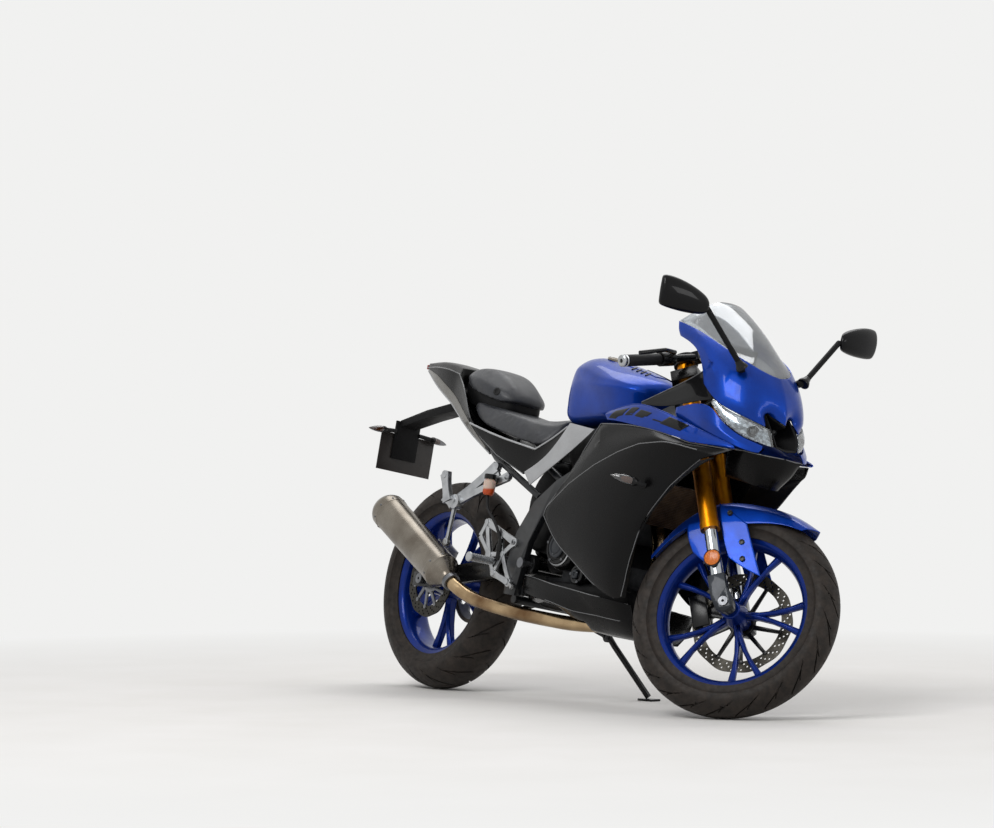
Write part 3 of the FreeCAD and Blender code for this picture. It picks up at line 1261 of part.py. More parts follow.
shaped("nose_duct", lofted(list(reversed(rings(NOSE_DUCT)))))
CHIN = (
    (("F", 0, 96, 738.8), ("F", 70, 98, 731.8), ("F", 120, 72, 725.8), ("F", 134, 0, 725.8)),
    (("F", -20, 84, 700), ("F", 60, 84, 692), ("F", 106, 58, 684), ("F", 122, 0, 682)),
    (("F", -40, 60, 664), ("F", 30, 60, 654), ("F", 72, 40, 644), ("F", 86, 0, 640)),
)
shaped("chin_cowl", nose_wrap(CHIN, TRIM_WALL))
INFILL = (
    (("F", -340, 160, 852), ("F", -250, 150, 886), ("F", -162, 142, 920), ("F", -81, 139, 956)),
    (("F", -336, 161, 846), ("F", -224, 161, 836), ("F", -92, 158, 858), ("F", -37, 151.5, 862)),
)
shaped("cowl_infills", both_sides(lambda side: side_panel(INFILL, side, TRIM_WALL)))
STRIP = (
    (("R", 870, 172, 822), ("R", 935, 172, 838), ("R", 1006, 170, 850), ("F", -200, 172, 822),
     ("F", -50, 164, 776.5), ("F", 80, 142, 736.5)),
    (("R", 876, 186, 811), ("R", 940, 188, 816), ("R", 1010, 190, 814), ("F", -200, 192, 792),
     ("F", -50, 180, 756), ("F", 82, 143, 732)),
    (("R", 884, 182, 797), ("R", 950, 188, 792), ("R", 1016, 190, 782), ("F", -206, 194, 768),
     ("F", -62, 184, 738), ("F", 80, 138, 728)),
)
shaped("upper_side_strips", both_sides(lambda side: side_panel(STRIP, side, TRIM_WALL)))
FAIRING = (
    (("R", 752, 180, 640), ("R", 796, 178, 712), ("R", 848, 174, 786), ("R", 1000, 187, 783.4),
     ("F", -214, 191, 767.2), ("F", -66, 181, 736.2), ("F", 70, 138, 726.2)),
    (("R", 730, 192, 600), ("R", 806, 198, 660), ("R", 892, 200, 715), ("R", 1020, 210, 735),
     ("F", -214, 214, 746), ("F", -100, 208, 728), ("F", 26, 168, 704)),
    (("R", 664, 186, 536), ("R", 790, 206, 588), ("R", 936, 219, 654), ("R", 1040, 220, 697),
     ("F", -216, 218, 728), ("F", -110, 208, 716), ("F", -11, 180, 692)),
    (("R", 655, 182, 515), ("R", 740, 192, 505), ("R", 850, 206, 525), ("R", 960, 213, 552),
     ("F", -276, 213, 585), ("F", -190, 206, 605), ("F", -112, 194, 612)),
    (("R", 706, 180, 460), ("R", 770, 187, 450), ("R", 860, 199, 455), ("R", 950, 204, 465),
     ("F", -316, 203, 474), ("F", -262, 196, 486), ("F", -216, 188, 508)),
    (("R", 754, 178, 425), ("R", 808, 180, 404), ("R", 880, 186, 392), ("R", 948, 188, 378),
     ("F", -344, 186, 368), ("F", -302, 182, 376), ("F", -258, 178, 400)),
    (("R", 800, 174, 400), ("R", 852, 174, 372), ("R", 905, 172, 340), ("R", 958, 168, 314),
     ("F", -344, 165, 300), ("F", -316, 161, 295), ("F", -292, 160, 300)),
)
shaped("side_fairings", bolted(FAIRING, FRAME.fuse(PIECES["engine_block"][0].Shape), ((884, 722), (770, 478)), 8))
LINER = (
    (("F", 24, 158, 698), ("F", -50, 146, 690), ("F", -170, 144, 684)),
    (("F", -14, 171, 680), ("F", -100, 152, 660), ("F", -200, 144, 640)),
    (("F", -116, 187.4, 604), ("F", -180, 165, 596), ("F", -254, 140, 580)),
    (("F", -221, 181.4, 502), ("F", -256, 162, 500), ("F", -300, 124, 500)),
    (("F", -264, 171.4, 398), ("F", -292, 160, 400), ("F", -316, 124, 400)),
    (("F", -304, 152, 302), ("F", -310, 146, 302), ("F", -318, 124, 302)),
)
shaped("fairing_liners", both_sides(lambda side: side_panel(LINER, side, TRIM_WALL)))
BELLY = (
    (("R", 532, 0, 275), ("R", 532, 84, 275), ("R", 532, 124, 298), ("R", 532, 126, 348)),
    (("R", 600, 0, 264), ("R", 600, 84, 265), ("R", 600, 132, 285), ("R", 600, 136, 338)),
    (("R", 690, 0, 262), ("R", 690, 84, 262), ("R", 690, 138, 272), ("R", 690, 142, 325)),
    (("R", 800, 0, 204), ("R", 800, 72, 210), ("R", 800, 128, 250), ("R", 800, 146, 312)),
    (("R", 900, 0, 196), ("R", 900, 72, 202), ("R", 900, 124, 245), ("R", 900, 146, 300)),
    (("R", 1000, 0, 188), ("R", 1000, 70, 194), ("R", 1000, 116, 235), ("R", 1000, 140, 290)),
    (("F", -292, 0, 190), ("F", -292, 64, 196), ("F", -296, 100, 235), ("F", -300, 116, 284)),
)


def belly_pan():
    pan = panel([list(reversed(section)) for section in whole(BELLY)], size("panel_wall"))
    pan = pan.cut(Part.makeBox(150, 84, 70, Vector(670, -102, 190)))
    bosses = [boss(pan, PIECES["engine_block"][0].Shape, Vector(852, side * 300, 298), Vector(0, -side, 0), 5)
              for side in (-1, 1)]
    return pan.multiFuse(bosses)


shaped("belly_pan", belly_pan())
shaped("radiator", plate(RADIATOR, -RADIATOR_HALF, RADIATOR_HALF))
shaped("instrument_panel", Part.makeBox(20, 150, 84, Vector(1170, -75, 960)))
HEADLIGHTS = PIECES["headlights"][0].Shape
STAY_REACH = 150


def cowl_stay():
    """Tubular bracket from the steering head to the lamps, the instruments and the cowl."""
    head_middle = STEERING_BASE + FORK_UP * (size("lower_clamp") + size("upper_clamp") + size("clamp_height")) * 0.5
    bend = head_middle + FORK_FORWARD * STAY_REACH
    root = reach(FRAME, bend, FORK_FORWARD * -1, 10)
    fork_side = Vector(1240, 0, 890)
    forward = Vector(size("wheelbase") + 60, 0, 800)
    parts = [root, tube([bend, fork_side, forward], 10), Part.makeSphere(10, bend),
             reach(PIECES["instrument_panel"][0].Shape, Vector(1180, 0, 902), Vector(0, 0, 1), 8),
             reach(PIECES["nose_duct"][0].Shape, forward, Vector(1, 0, -0.3), 9), Part.makeSphere(10, forward),
             across(fork_side.x, fork_side.z, 8, 112)]
    for side in (-1, 1):
        end = fork_side + Vector(0, side * 110, 0)
        parts += [Part.makeSphere(8, end), reach(HEADLIGHTS, end, Vector(120, side * 12, -72), 6, "gap * 3"),
                  reach(UPPER_COWL, end, Vector(105, side * -12, 62), 6)]
    return parts[0].multiFuse(parts[1:])


shaped("cowl_stay", cowl_stay())
MIRROR_BASE = ("F", 22, 118, 966)
MIRROR_INNER = ("F", -6, 238, 1098)
MIRROR = (
    (("F", 4, 246, 1134), ("F", -18, 310, 1152), ("F", -38, 374, 1160)),
    (("F", 22, 244, 1108), ("F", 6, 312, 1116), ("F", -14, 380, 1120)),
    (("F", 4, 248, 1080), ("F", -8, 312, 1078), ("F", -24, 372, 1078)),
)
MIRROR_DEPTH = 26


def mirror_housing(side):
    return side_panel(MIRROR, side, MIRROR_DEPTH)


shaped("mirror_housings", both_sides(mirror_housing))


def mirror(side):
    """Stalk with its foot on the cowl and its head in the housing's inner edge."""
    base, inner = at(MIRROR_BASE, side), at(MIRROR_INNER, side)
    foot = reach(UPPER_COWL, base, Vector(-20, side * -30, -22), 11)
    head = reach(mirror_housing(side), inner, Vector(0, side, 0.1), 6)
    return tube([base, inner], 8).multiFuse([foot, head, Part.makeSphere(11, base), Part.makeSphere(8, inner)])


shaped("mirror_stalks", both_sides(mirror))
HANGER = [(300, 500), (340, 490), (474, 448), (474, 426), (420, 400), (474, 330), (474, 308), (380, 344), (340, 400)]
HANGER_Y = size("frame_half") + WALL / 2 + size("gap")


def footrest(side):
    low, high = sorted((side * HANGER_Y, side * (HANGER_Y + 8)))
    hanger = plate(HANGER, low, high)
    peg = Part.makeCylinder(11, 92, Vector(384, side * (HANGER_Y + 8), 378), Vector(0, side, 0))
    return hanger.fuse(peg)


shaped("footrest_plates", both_sides(footrest))
PILLION_HUB = ("R", 172, 156, 546)
PILLION_PEG = ("R", 150, 172, 548)
MUFFLER = PIECES["muffler"][0].Shape


def pillion_footrest(side):
    """Forked hanger below the seat rail with a folded peg; the right one also carries the muffler."""
    hub = at(PILLION_HUB, side)
    root, second = at(("R", 300, 118, 660), side), at(("R", 372, 125, 630), side)
    parts = [tube([root, hub, at(PILLION_PEG, side)], 9), tube([second, hub], 8),
             Part.makeSphere(9, root), Part.makeSphere(8, second),
             reach(RAILS, root, Vector(0, side * -12, 16), 8),
             reach(RAILS, second, Vector(0, side * -14, 14), 7),
             tube([at(("R", 150, 172, 548), side), at(("R", 120, 174, 622), side)], 11)]
    if side < 0:
        parts.append(reach(MUFFLER, hub, Vector(0, -0.1, -1), 8))
    return parts[0].multiFuse(parts[1:])


shaped("passenger_footrests", both_sides(pillion_footrest))
shaped("rear_reservoir", Part.makeCylinder(19, 62, Vector(330, -159.3, 570)))
HOLDER = (("R", -69.4, 0, 864, 26), ("R", -250, 0, 832, 26), ("R", -386, 0, 800, 22))
shaped("plate_holder", bar(along(HOLDER, 1), 60).fuse(Part.makeBox(8, 90, 118, Vector(-391, -45, 690))))
shaped("number_plate", Part.makeBox(2.5, size("plate_width"), size("plate_height"),
                                    Vector(-394, -size("plate_width") / 2 + 10, 768 - size("plate_height"))))


def indicator(side):
    rear = tube([at(("R", -384, 45.3, 775), side), at(("R", -374, 92, 772), side)], 6)
    rear_lamp = Part.makeBox(30, 56, 16, at(("R", -377, 118, 762), side) - Vector(0, 28, 0))
    front_root = at(("R", 1136, 226, 612), side)
    front = tube([front_root, at(("R", 1094, 276, 622), side)], 11)
    stem = reach(PIECES["side_fairings"][0].Shape, front_root, Vector(-2, -side, 0), 6)
    return Part.makeCompound([rear.fuse(rear_lamp), front.multiFuse([stem, Part.makeSphere(9, front_root)])])


shaped("indicators", both_sides(indicator))

# Every piece takes the leaning pose; then the whole is set over its own origin.
doc.recompute()
for item in doc.Objects:
    if "Invalid" in item.State or "Error" in item.State:
        raise RuntimeError(f"{item.Label} failed: {item.State}")


def pose_of(frame):
    turned = STEERED if frame == "fork" else Placement()
    return STANDING.multiply(turned).multiply(FRAMES[frame])


def set_all(shift):
    box = FreeCAD.BoundBox()
    for item, frame, offset in PIECES.values():
        move = Placement(shift, Rotation())
        item.Placement = move.multiply(pose_of(frame)).multiply(Placement(offset, Rotation()))
        box.add(item.Shape.optimalBoundingBox(False, False))
    return box


bounds = set_all(Vector())
ORIGIN_SHIFT = Vector(-bounds.Center.x, -bounds.Center.y, 0)
bounds = set_all(ORIGIN_SHIFT)
doc.recompute()
for name, (item, frame, offset) in PIECES.items():
    if item.Shape.isNull() or not item.Shape.isValid():
        raise RuntimeError(f"{name} has no valid shape")
os.makedirs("parts", exist_ok=True)
for name, (item, frame, offset) in PIECES.items():
    item.Shape.exportStep(f"parts/{name}.step")
print(len(PIECES), "pieces", bounds)
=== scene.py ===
# %% [markdown]
# # A faired sport bike on its side stand
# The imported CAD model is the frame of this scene: its nodes say where each part of the bike is.
# Painted panels, seats and tyres get finished pieces here, and the rest gets real finishes.
# Everything is in metres, with the road at z = 0 and the front wheel towards +X.

# %% Load the frame
import bpy
import bmesh
import json
import math
from mathutils import Matrix, Vector

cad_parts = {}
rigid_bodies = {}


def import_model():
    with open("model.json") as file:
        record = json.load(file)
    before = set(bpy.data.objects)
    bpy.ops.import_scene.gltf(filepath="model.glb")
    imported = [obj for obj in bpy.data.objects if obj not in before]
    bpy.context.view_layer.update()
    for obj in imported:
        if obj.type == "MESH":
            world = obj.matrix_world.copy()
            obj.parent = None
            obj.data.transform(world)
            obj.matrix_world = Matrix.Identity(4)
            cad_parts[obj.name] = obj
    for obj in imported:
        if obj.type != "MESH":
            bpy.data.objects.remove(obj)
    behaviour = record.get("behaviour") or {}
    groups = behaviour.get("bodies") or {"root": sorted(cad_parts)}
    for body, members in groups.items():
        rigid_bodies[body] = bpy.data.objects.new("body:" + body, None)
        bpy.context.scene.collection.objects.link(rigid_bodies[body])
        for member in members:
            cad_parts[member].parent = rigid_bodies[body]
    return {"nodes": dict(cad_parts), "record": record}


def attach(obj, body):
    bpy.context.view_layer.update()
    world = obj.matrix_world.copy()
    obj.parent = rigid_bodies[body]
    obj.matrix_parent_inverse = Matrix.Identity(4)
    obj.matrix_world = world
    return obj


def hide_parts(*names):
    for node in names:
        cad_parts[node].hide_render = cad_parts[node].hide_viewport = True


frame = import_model()
nodes = frame["nodes"]
body_of_node = {}
for body, members in frame["record"]["behaviour"]["bodies"].items():
    for member in members:
        body_of_node[member] = body
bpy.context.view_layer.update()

# %% [markdown]
# The bike is drawn upright and then leans on its stand with the steering on its left stop.
# These two placements turn a point of the upright drawing, in millimetres, into the scene's metres.
# STANDING carries the frame, the engine and the body; STEERED also carries the fork and its wheel.

# %% Placements of the upright drawing
SIDES = ((-1, "right"), (1, "left"))
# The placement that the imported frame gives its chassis: a lean of 11 degrees to the left, a small pitch
# and lift that set both tyres on the road, and a move that centres the bike's box.
STANDING = Matrix((
    (0.99998367, -0.00109035, 0.00560934, -0.60473190),
    (0.0, 0.98162718, 0.19080900, -0.21443181),
    (-0.00571433, -0.19080588, 0.98161116, 0.00136477),
    (0, 0, 0, 1),
))
RAKE = math.radians(26)
FORK_UP = Vector((-math.sin(RAKE), 0, math.cos(RAKE)))
STEERING_BASE = Vector((1.30045, 0, 0.27671))
STEERING_LOCK = math.radians(33)
STEERED = (STANDING @ Matrix.Translation(STEERING_BASE)
           @ Matrix.Rotation(STEERING_LOCK, 4, FORK_UP) @ Matrix.Translation(-STEERING_BASE))
FRONT_AXLE = Vector((1.340, 0, 0.296))
REAR_AXLE = Vector((0, 0, 0.314))


def standing(x, y, z):
    """A point of the upright drawing, in millimetres, on the leaning bike."""
    return STANDING @ Vector((x / 1000, y / 1000, z / 1000))


def steered(x, y, z):
    """The same for a point on the fork or the handlebars."""
    return STEERED @ Vector((x / 1000, y / 1000, z / 1000))


def moved(x, y, z):
    """A move by millimetres."""
    return Matrix.Translation((x / 1000, y / 1000, z / 1000))


def aimed(direction):
    """The turn that carries +Y to this direction."""
    return Vector(direction).normalized().to_track_quat("Y", "Z").to_matrix().to_4x4()


print("front axle at", tuple(round(value, 4) for value in STEERED @ FRONT_AXLE))

# %% [markdown]
# ## Helpers for modelling
# Operators act on whatever is selected, so each piece starts with nothing selected. Modifiers are added
# in the order in which they work and are then applied together.

# %% Selection and finishing helpers


def unselect():
    """Leaves nothing selected."""
    bpy.ops.object.select_all(action="DESELECT")


def only(piece):
    """Makes this piece the only one selected."""
    unselect()
    piece.select_set(True)
    bpy.context.view_layer.objects.active = piece
    return piece


def named(name):
    """Names the piece that was just added, and its mesh."""
    made = bpy.context.object
    made.name = name
    made.data.name = name
    return made


def apply_all(piece):
    """Applies every modifier of a piece, in order."""
    only(piece)
    for modifier in list(piece.modifiers):
        bpy.ops.object.modifier_apply(modifier=modifier.name)
    return piece


def settle(piece):
    """Puts the place, turn and scale of a piece into its mesh."""
    only(piece)
    bpy.ops.object.transform_apply(location=True, rotation=True, scale=True)
    return piece


def smooth(piece, degrees=30):
    """Smooth shading, with edges sharper than this left crisp."""
    only(piece)
    bpy.ops.object.shade_smooth_by_angle(angle=math.radians(degrees))
    return piece


def from_node(node, name):
    """A loose copy of a CAD node with its doubled corners merged, to be finished as a new piece."""
    only(nodes[node])
    bpy.ops.object.duplicate()
    copy = named(name)
    for key in list(copy.keys()):
        del copy[key]
    copy.parent = None
    copy.matrix_world = Matrix.Identity(4)
    bpy.ops.object.mode_set(mode="EDIT")
    bpy.ops.mesh.select_all(action="SELECT")
    bpy.ops.mesh.remove_doubles(threshold=0.00002)
    bpy.ops.mesh.customdata_custom_splitnormals_clear()
    bpy.ops.object.mode_set(mode="OBJECT")
    return copy


def fit(piece, body, material, *replaced):
    """Gives a finished piece its material and its body, and hides the nodes that it stands for."""
    piece.data.materials.clear()
    piece.data.materials.append(material)
    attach(piece, body)
    if replaced:
        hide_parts(*replaced)
    return piece


# %% [markdown]
# Four steps come back in many pieces: a cube to be shaped corner by corner, a boolean cut, a smooth
# subdivision and a narrow bevel along sharp edges. Each is a helper.

# %% Shaping helpers


def block(name, cuts=0):
    """A cube of side 1 round the origin, with this many cuts each way."""
    unselect()
    bpy.ops.mesh.primitive_cube_add(size=1)
    cube = named(name)
    if cuts:
        bpy.ops.object.mode_set(mode="EDIT")
        bpy.ops.mesh.select_all(action="SELECT")
        bpy.ops.mesh.subdivide(number_cuts=cuts)
        bpy.ops.object.mode_set(mode="OBJECT")
    return cube


def cut_by(piece, cutter):
    """Adds a boolean that takes a closed cutter out of a piece."""
    cut = piece.modifiers.new("cut", "BOOLEAN")
    cut.object = cutter
    cut.operation = "DIFFERENCE"
    cut.solver = "MANIFOLD"


def divided(piece, levels):
    """Adds a Subdivision Surface that is as fine in the scene as in a render."""
    body = piece.modifiers.new("body", "SUBSURF")
    body.levels = levels
    body.render_levels = levels
    return body


def bevelled(piece, width, degrees=30, segments=2):
    """Rounds the edges that are sharper than this by a width in metres, and applies every modifier."""
    edges = piece.modifiers.new("edges", "BEVEL")
    edges.width = width
    edges.segments = segments
    edges.limit_method = "ANGLE"
    edges.angle_limit = math.radians(degrees)
    return apply_all(piece)


# %% [markdown]
# ## Finishes
# Every surface is a small network of nodes. One helper adds a node with its settings and its links,
# and another turns an sRGB hex value into the linear colour that a shader works in. Three patterns come
# back in most finishes: a value that wanders in patches, a mottled colour and a raised grain.

# %% Material helpers


def linear(hex_value):
    """An sRGB hex value as a linear colour."""
    parts = [int(hex_value[index:index + 2], 16) / 255 for index in (1, 3, 5)]
    curved = [part / 12.92 if part <= 0.04045 else ((part + 0.055) / 1.055) ** 2.4 for part in parts]
    return (*curved, 1.0)


def add(tree, kind, settings=None, links=None):
    """One node, with its properties or sockets set and its inputs linked."""
    made = tree.nodes.new(kind)
    for key, value in (settings or {}).items():
        if isinstance(key, str) and hasattr(made, key):
            setattr(made, key, value)
        else:
            made.inputs[key].default_value = value
    for key, socket in (links or {}).items():
        tree.links.new(socket, made.inputs[key])
    return made


def new_finish(name):
    """An empty material, its tree and the object coordinates in millimetres."""
    material = bpy.data.materials.new(name)
    material.use_nodes = True
    tree = material.node_tree
    tree.nodes.clear()
    place = add(tree, "ShaderNodeTexCoord").outputs["Object"]
    scaled = add(tree, "ShaderNodeVectorMath", {"operation": "SCALE", "Scale": 1000.0}, {0: place})
    return material, tree, scaled.outputs["Vector"]


def patches(tree, place, size, low, high, detail=2.0, rough=0.5, start=0.3, end=0.7):
    """A value that wanders from low to high, in patches about this many millimetres across."""
    noise = add(tree, "ShaderNodeTexNoise", {"Scale": 1.0 / size, "Detail": detail, "Roughness": rough},
                {"Vector": place}).outputs["Fac"]
    span = {"From Min": start, "From Max": end, "To Min": low, "To Max": high}
    return add(tree, "ShaderNodeMapRange", span, {"Value": noise}).outputs["Result"]


def mottled(tree, place, size, first, second, detail=3.0, rough=0.5, start=0.3, end=0.7):
    """A colour that wanders between two sRGB colours in the same way."""
    share = patches(tree, place, size, 0.0, 1.0, detail, rough, start, end)
    return add(tree, "ShaderNodeMix", {"data_type": "RGBA", 6: linear(first), 7: linear(second)},
               {0: share}).outputs[2]


def raised_grain(tree, place, size, depth, detail=2.0, rough=0.5):
    """Lumps about this many millimetres across and at most this many millimetres high."""
    noise = add(tree, "ShaderNodeTexNoise", {"Scale": 1.0 / size, "Detail": detail, "Roughness": rough},
                {"Vector": place}).outputs["Fac"]
    return add(tree, "ShaderNodeBump", {"Strength": 1.0, "Distance": depth / 1000},
               {"Height": noise}).outputs["Normal"]


def shaded(tree, settings, links):
    """The shader with its settings and links, joined to the material's output."""
    shader = add(tree, "ShaderNodeBsdfPrincipled", settings, links)
    add(tree, "ShaderNodeOutputMaterial", None, {"Surface": shader.outputs["BSDF"]})


# %% [markdown]
# Body paint is a metallic base coat under clear lacquer. The aluminium flakes are finer than the render
# can show, so they are drawn a millimetre across. A faint orange peel, about 4 mm wide, comes from spraying.

# %% Metallic lacquer
FLAKE_SHARE = 0.18
PEEL_WIDTH = 4.0
PEEL_DEPTH = 0.004


def metallic_lacquer(name, colour, deep, flake, metallic, base):
    """A metallic base coat under clear lacquer; base is the roughness of the coat with the flakes."""
    material, tree, place = new_finish(name)
    ground = mottled(tree, place, 90, deep, colour)
    sparkle = add(tree, "ShaderNodeTexVoronoi", {"Scale": 1.0}, {"Vector": place}).outputs["Color"]
    tone = add(tree, "ShaderNodeSeparateColor", None, {"Color": sparkle}).outputs["Red"]
    bright = add(tree, "ShaderNodeMapRange", {"From Min": 0.55}, {"Value": tone}).outputs["Result"]
    share = add(tree, "ShaderNodeMath", {"operation": "MULTIPLY", 1: FLAKE_SHARE}, {0: bright}).outputs[0]
    paint = add(tree, "ShaderNodeMix", {"data_type": "RGBA", 7: linear(flake)}, {0: share, 6: ground})
    shaded(tree, {"Metallic": metallic, "Specular IOR Level": 0.05, "Coat Weight": 0.5,
                  "Coat Roughness": 0.04, "Coat IOR": 1.34},
           {"Base Color": paint.outputs[2], "Roughness": patches(tree, place, 14, base - 0.05, base + 0.05),
            "Coat Normal": raised_grain(tree, place, PEEL_WIDTH, PEEL_DEPTH, 1)})
    return material


BLUE_LACQUER = metallic_lacquer("blue_metallic_lacquer", "#04389C", "#032C80", "#1A58C0", 0.55, 0.36)
WHEEL_ENAMEL = metallic_lacquer("blue_wheel_enamel", "#06287A", "#041E62", "#1C44A0", 0.55, 0.4)
SILVER_LACQUER = metallic_lacquer("silver_metallic_lacquer", "#ABACAE", "#98999B", "#D4D5D6", 0.7, 0.36)
GREY_LACQUER = metallic_lacquer("dark_grey_lacquer", "#2B2E33", "#222529", "#4E5258", 0.5, 0.38)
BLACK_LACQUER = metallic_lacquer("black_lacquer", "#0A0A0C", "#070708", "#1C1C20", 0.1, 0.34)

# %% [markdown]
# The lower body is injection-moulded ABS with a satin lacquer: near black, with a soft broad sheen. Dust
# and handling make its roughness uneven. The hidden liners are grained polypropylene, duller and rougher.

# %% Moulded plastics


def moulded_plastic(name, colour, worn, rough, grain_size, depth, coat=0.0, gloss=0.3):
    """Moulded plastic with an uneven sheen and a fine grain; grain size and depth are in millimetres."""
    material, tree, place = new_finish(name)
    shaded(tree, {"Metallic": 0.0, "IOR": 1.5, "Specular IOR Level": gloss, "Coat Weight": coat,
                  "Coat Roughness": 0.16},
           {"Base Color": mottled(tree, place, 60, colour, worn, 4),
            "Roughness": patches(tree, place, 25, rough - 0.05, rough + 0.07, 3),
            "Normal": raised_grain(tree, place, grain_size, depth)})
    return material


SATIN_ABS = moulded_plastic("satin_black_abs", "#060607", "#090808", 0.24, 6.0, 0.002, 0.06, 0.08)
GRAINED_POLYPROPYLENE = moulded_plastic("grained_black_polypropylene", "#0C0C0D", "#121213", 0.5, 1.2, 0.04,
                                        0.0, 0.12)
BLACK_ENAMEL = moulded_plastic("black_enamel", "#0A0A0B", "#101011", 0.28, 3.0, 0.006, 0.12, 0.2)
FRAME_ENAMEL = moulded_plastic("satin_black_frame_enamel", "#141517", "#1B1D20", 0.32, 2.0, 0.008, 0.15, 0.25)
PLATE_PAINT = moulded_plastic("blank_plate_paint", "#1F1B1A", "#2A2523", 0.42, 2.5, 0.01, 0.2, 0.3)
GRIP_RUBBER = moulded_plastic("nitrile_grip_rubber", "#101011", "#181819", 0.6, 1.0, 0.06, 0.0, 0.25)

# %% [markdown]
# Bare metals: die-cast aluminium has a fine cast skin, the brake discs are ground in circles, the fork's
# lower tubes are hard chrome, and its upper tubes are gold anodised aluminium, which keeps a soft sheen.

# %% Metals


def bare_metal(name, colour, deep, rough, grain_size, depth, spread=0.06):
    """A metal with an uneven polish, whose roughness wanders by the spread."""
    material, tree, place = new_finish(name)
    shaded(tree, {"Metallic": 1.0},
           {"Base Color": mottled(tree, place, 35, deep, colour, 4),
            "Roughness": patches(tree, place, 9, rough - spread, rough + spread, 3),
            "Normal": raised_grain(tree, place, grain_size, depth, 3)})
    return material


CAST_ALUMINIUM = bare_metal("bright_cast_aluminium", "#B9BBBD", "#9C9EA1", 0.34, 1.6, 0.02)
CRANKCASE_CASTING = bare_metal("painted_crankcase_casting", "#3A3B3D", "#28292B", 0.5, 1.4, 0.03)
ZINC_STEEL = bare_metal("zinc_plated_steel", "#808184", "#626468", 0.4, 4.0, 0.01)
DISC_STEEL = bare_metal("ground_brake_steel", "#42403B", "#302E2A", 0.48, 1.2, 0.006)
CHAIN_STEEL = bare_metal("oiled_chain_steel", "#5B554C", "#38342F", 0.38, 2.0, 0.02)
HARD_CHROME = bare_metal("hard_chrome", "#B4B8BC", "#A4A8AC", 0.1, 8.0, 0.0005, 0.02)
GOLD_ANODISED = bare_metal("gold_anodised_aluminium", "#C07A14", "#A86508", 0.36, 6.0, 0.0006, 0.02)
RADIATOR_FINS = bare_metal("worn_radiator_fins", "#5A4A3C", "#382E27", 0.5, 1.5, 0.03)

# %% [markdown]
# The muffler's sleeve is stainless steel brushed round its length: fine scratches across a long axis.
# The pipe is plain stainless that heat has tinted straw and brown, more so near the engine.

# %% Stainless steel
MUFFLER_REAR = Vector((-0.112, -0.198, 0.500))
MUFFLER_FRONT = Vector((0.186, -0.178, 0.334))
MUFFLER_AXIS = (MUFFLER_FRONT - MUFFLER_REAR).normalized()
MUFFLER_TURN = (STANDING.to_3x3() @ MUFFLER_AXIS).to_track_quat("X", "Z").inverted().to_euler()
HAIRLINE = 0.9
HAIR_STRETCH = 0.03


def brushed_stainless():
    """Stainless steel with fine hairlines round the muffler."""
    material, tree, place = new_finish("brushed_stainless_steel")
    along = add(tree, "ShaderNodeMapping", {"Rotation": tuple(MUFFLER_TURN)}, {"Vector": place})
    drawn = add(tree, "ShaderNodeMapping", {"Scale": (1.0, HAIR_STRETCH, HAIR_STRETCH)},
                {"Vector": along.outputs["Vector"]}).outputs["Vector"]
    shaded(tree, {"Metallic": 1.0},
           {"Base Color": mottled(tree, place, 70, "#6A635A", "#8A847B"),
            "Roughness": patches(tree, drawn, HAIRLINE, 0.22, 0.36, 4, 0.7),
            "Normal": raised_grain(tree, drawn, HAIRLINE, 0.006, 4, 0.7)})
    return material


def tinted_stainless():
    """Exhaust pipe steel, browned by heat in bands."""
    material, tree, place = new_finish("heat_tinted_stainless_steel")
    shaded(tree, {"Metallic": 1.0},
           {"Base Color": mottled(tree, place, 120, "#6A5138", "#BEA682"),
            "Roughness": patches(tree, place, 30, 0.17, 0.24),
            "Normal": raised_grain(tree, place, 6, 0.003)})
    return material


BRUSHED_STAINLESS = brushed_stainless()
TINTED_STAINLESS = tinted_stainless()

# %% [markdown]
# Tyre rubber is matte carbon-black rubber, a little brown with road dust on the tread. Seat vinyl is a
# leather-grained PVC with lumps of about 1.5 mm and a soft sheen where it has been sat on.

# %% Rubber and vinyl


def tyre_rubber():
    """Matte rubber with dust in its grain."""
    material, tree, place = new_finish("matte_tyre_rubber")
    shaded(tree, {"Metallic": 0.0, "IOR": 1.5, "Specular IOR Level": 0.2},
           {"Base Color": mottled(tree, place, 30, "#1F1C1A", "#38312C", 5, 0.7, 0.35, 0.75),
            "Roughness": patches(tree, place, 12, 0.5, 0.7, 3),
            "Normal": raised_grain(tree, place, 0.8, 0.06)})
    return material


def domes(tree, place, scale, edge, depth):
    """Cells that rise from their edges to a flat middle: the share of the rise, and the bump it makes."""
    cells = add(tree, "ShaderNodeTexVoronoi", {"feature": "DISTANCE_TO_EDGE", "Scale": scale},
                {"Vector": place})
    rise = add(tree, "ShaderNodeMapRange", {"From Max": edge}, {"Value": cells.outputs["Distance"]})
    bump = add(tree, "ShaderNodeBump", {"Strength": 1.0, "Distance": depth / 1000},
               {"Height": rise.outputs["Result"]})
    return rise.outputs["Result"], bump.outputs["Normal"]


def seat_vinyl():
    """Leather-grained black vinyl."""
    material, tree, place = new_finish("grained_seat_vinyl")
    _, pebbles = domes(tree, place, 0.6, 0.25, 0.08)
    shaded(tree, {"Metallic": 0.0, "IOR": 1.5, "Specular IOR Level": 0.5, "Sheen Weight": 0.06},
           {"Base Color": mottled(tree, place, 70, "#14161B", "#1C1F27"),
            "Roughness": patches(tree, place, 20, 0.34, 0.44), "Normal": pebbles})
    return material


TYRE_RUBBER = tyre_rubber()
SEAT_VINYL = seat_vinyl()

# %% [markdown]
# Lamp lenses and the windscreen are clear polycarbonate, which bends light a little more than acrylic.
# The reflectors and the rear lamp are coloured acrylic with a prism pattern of about 4 mm behind the face.

# %% Clear and coloured plastics


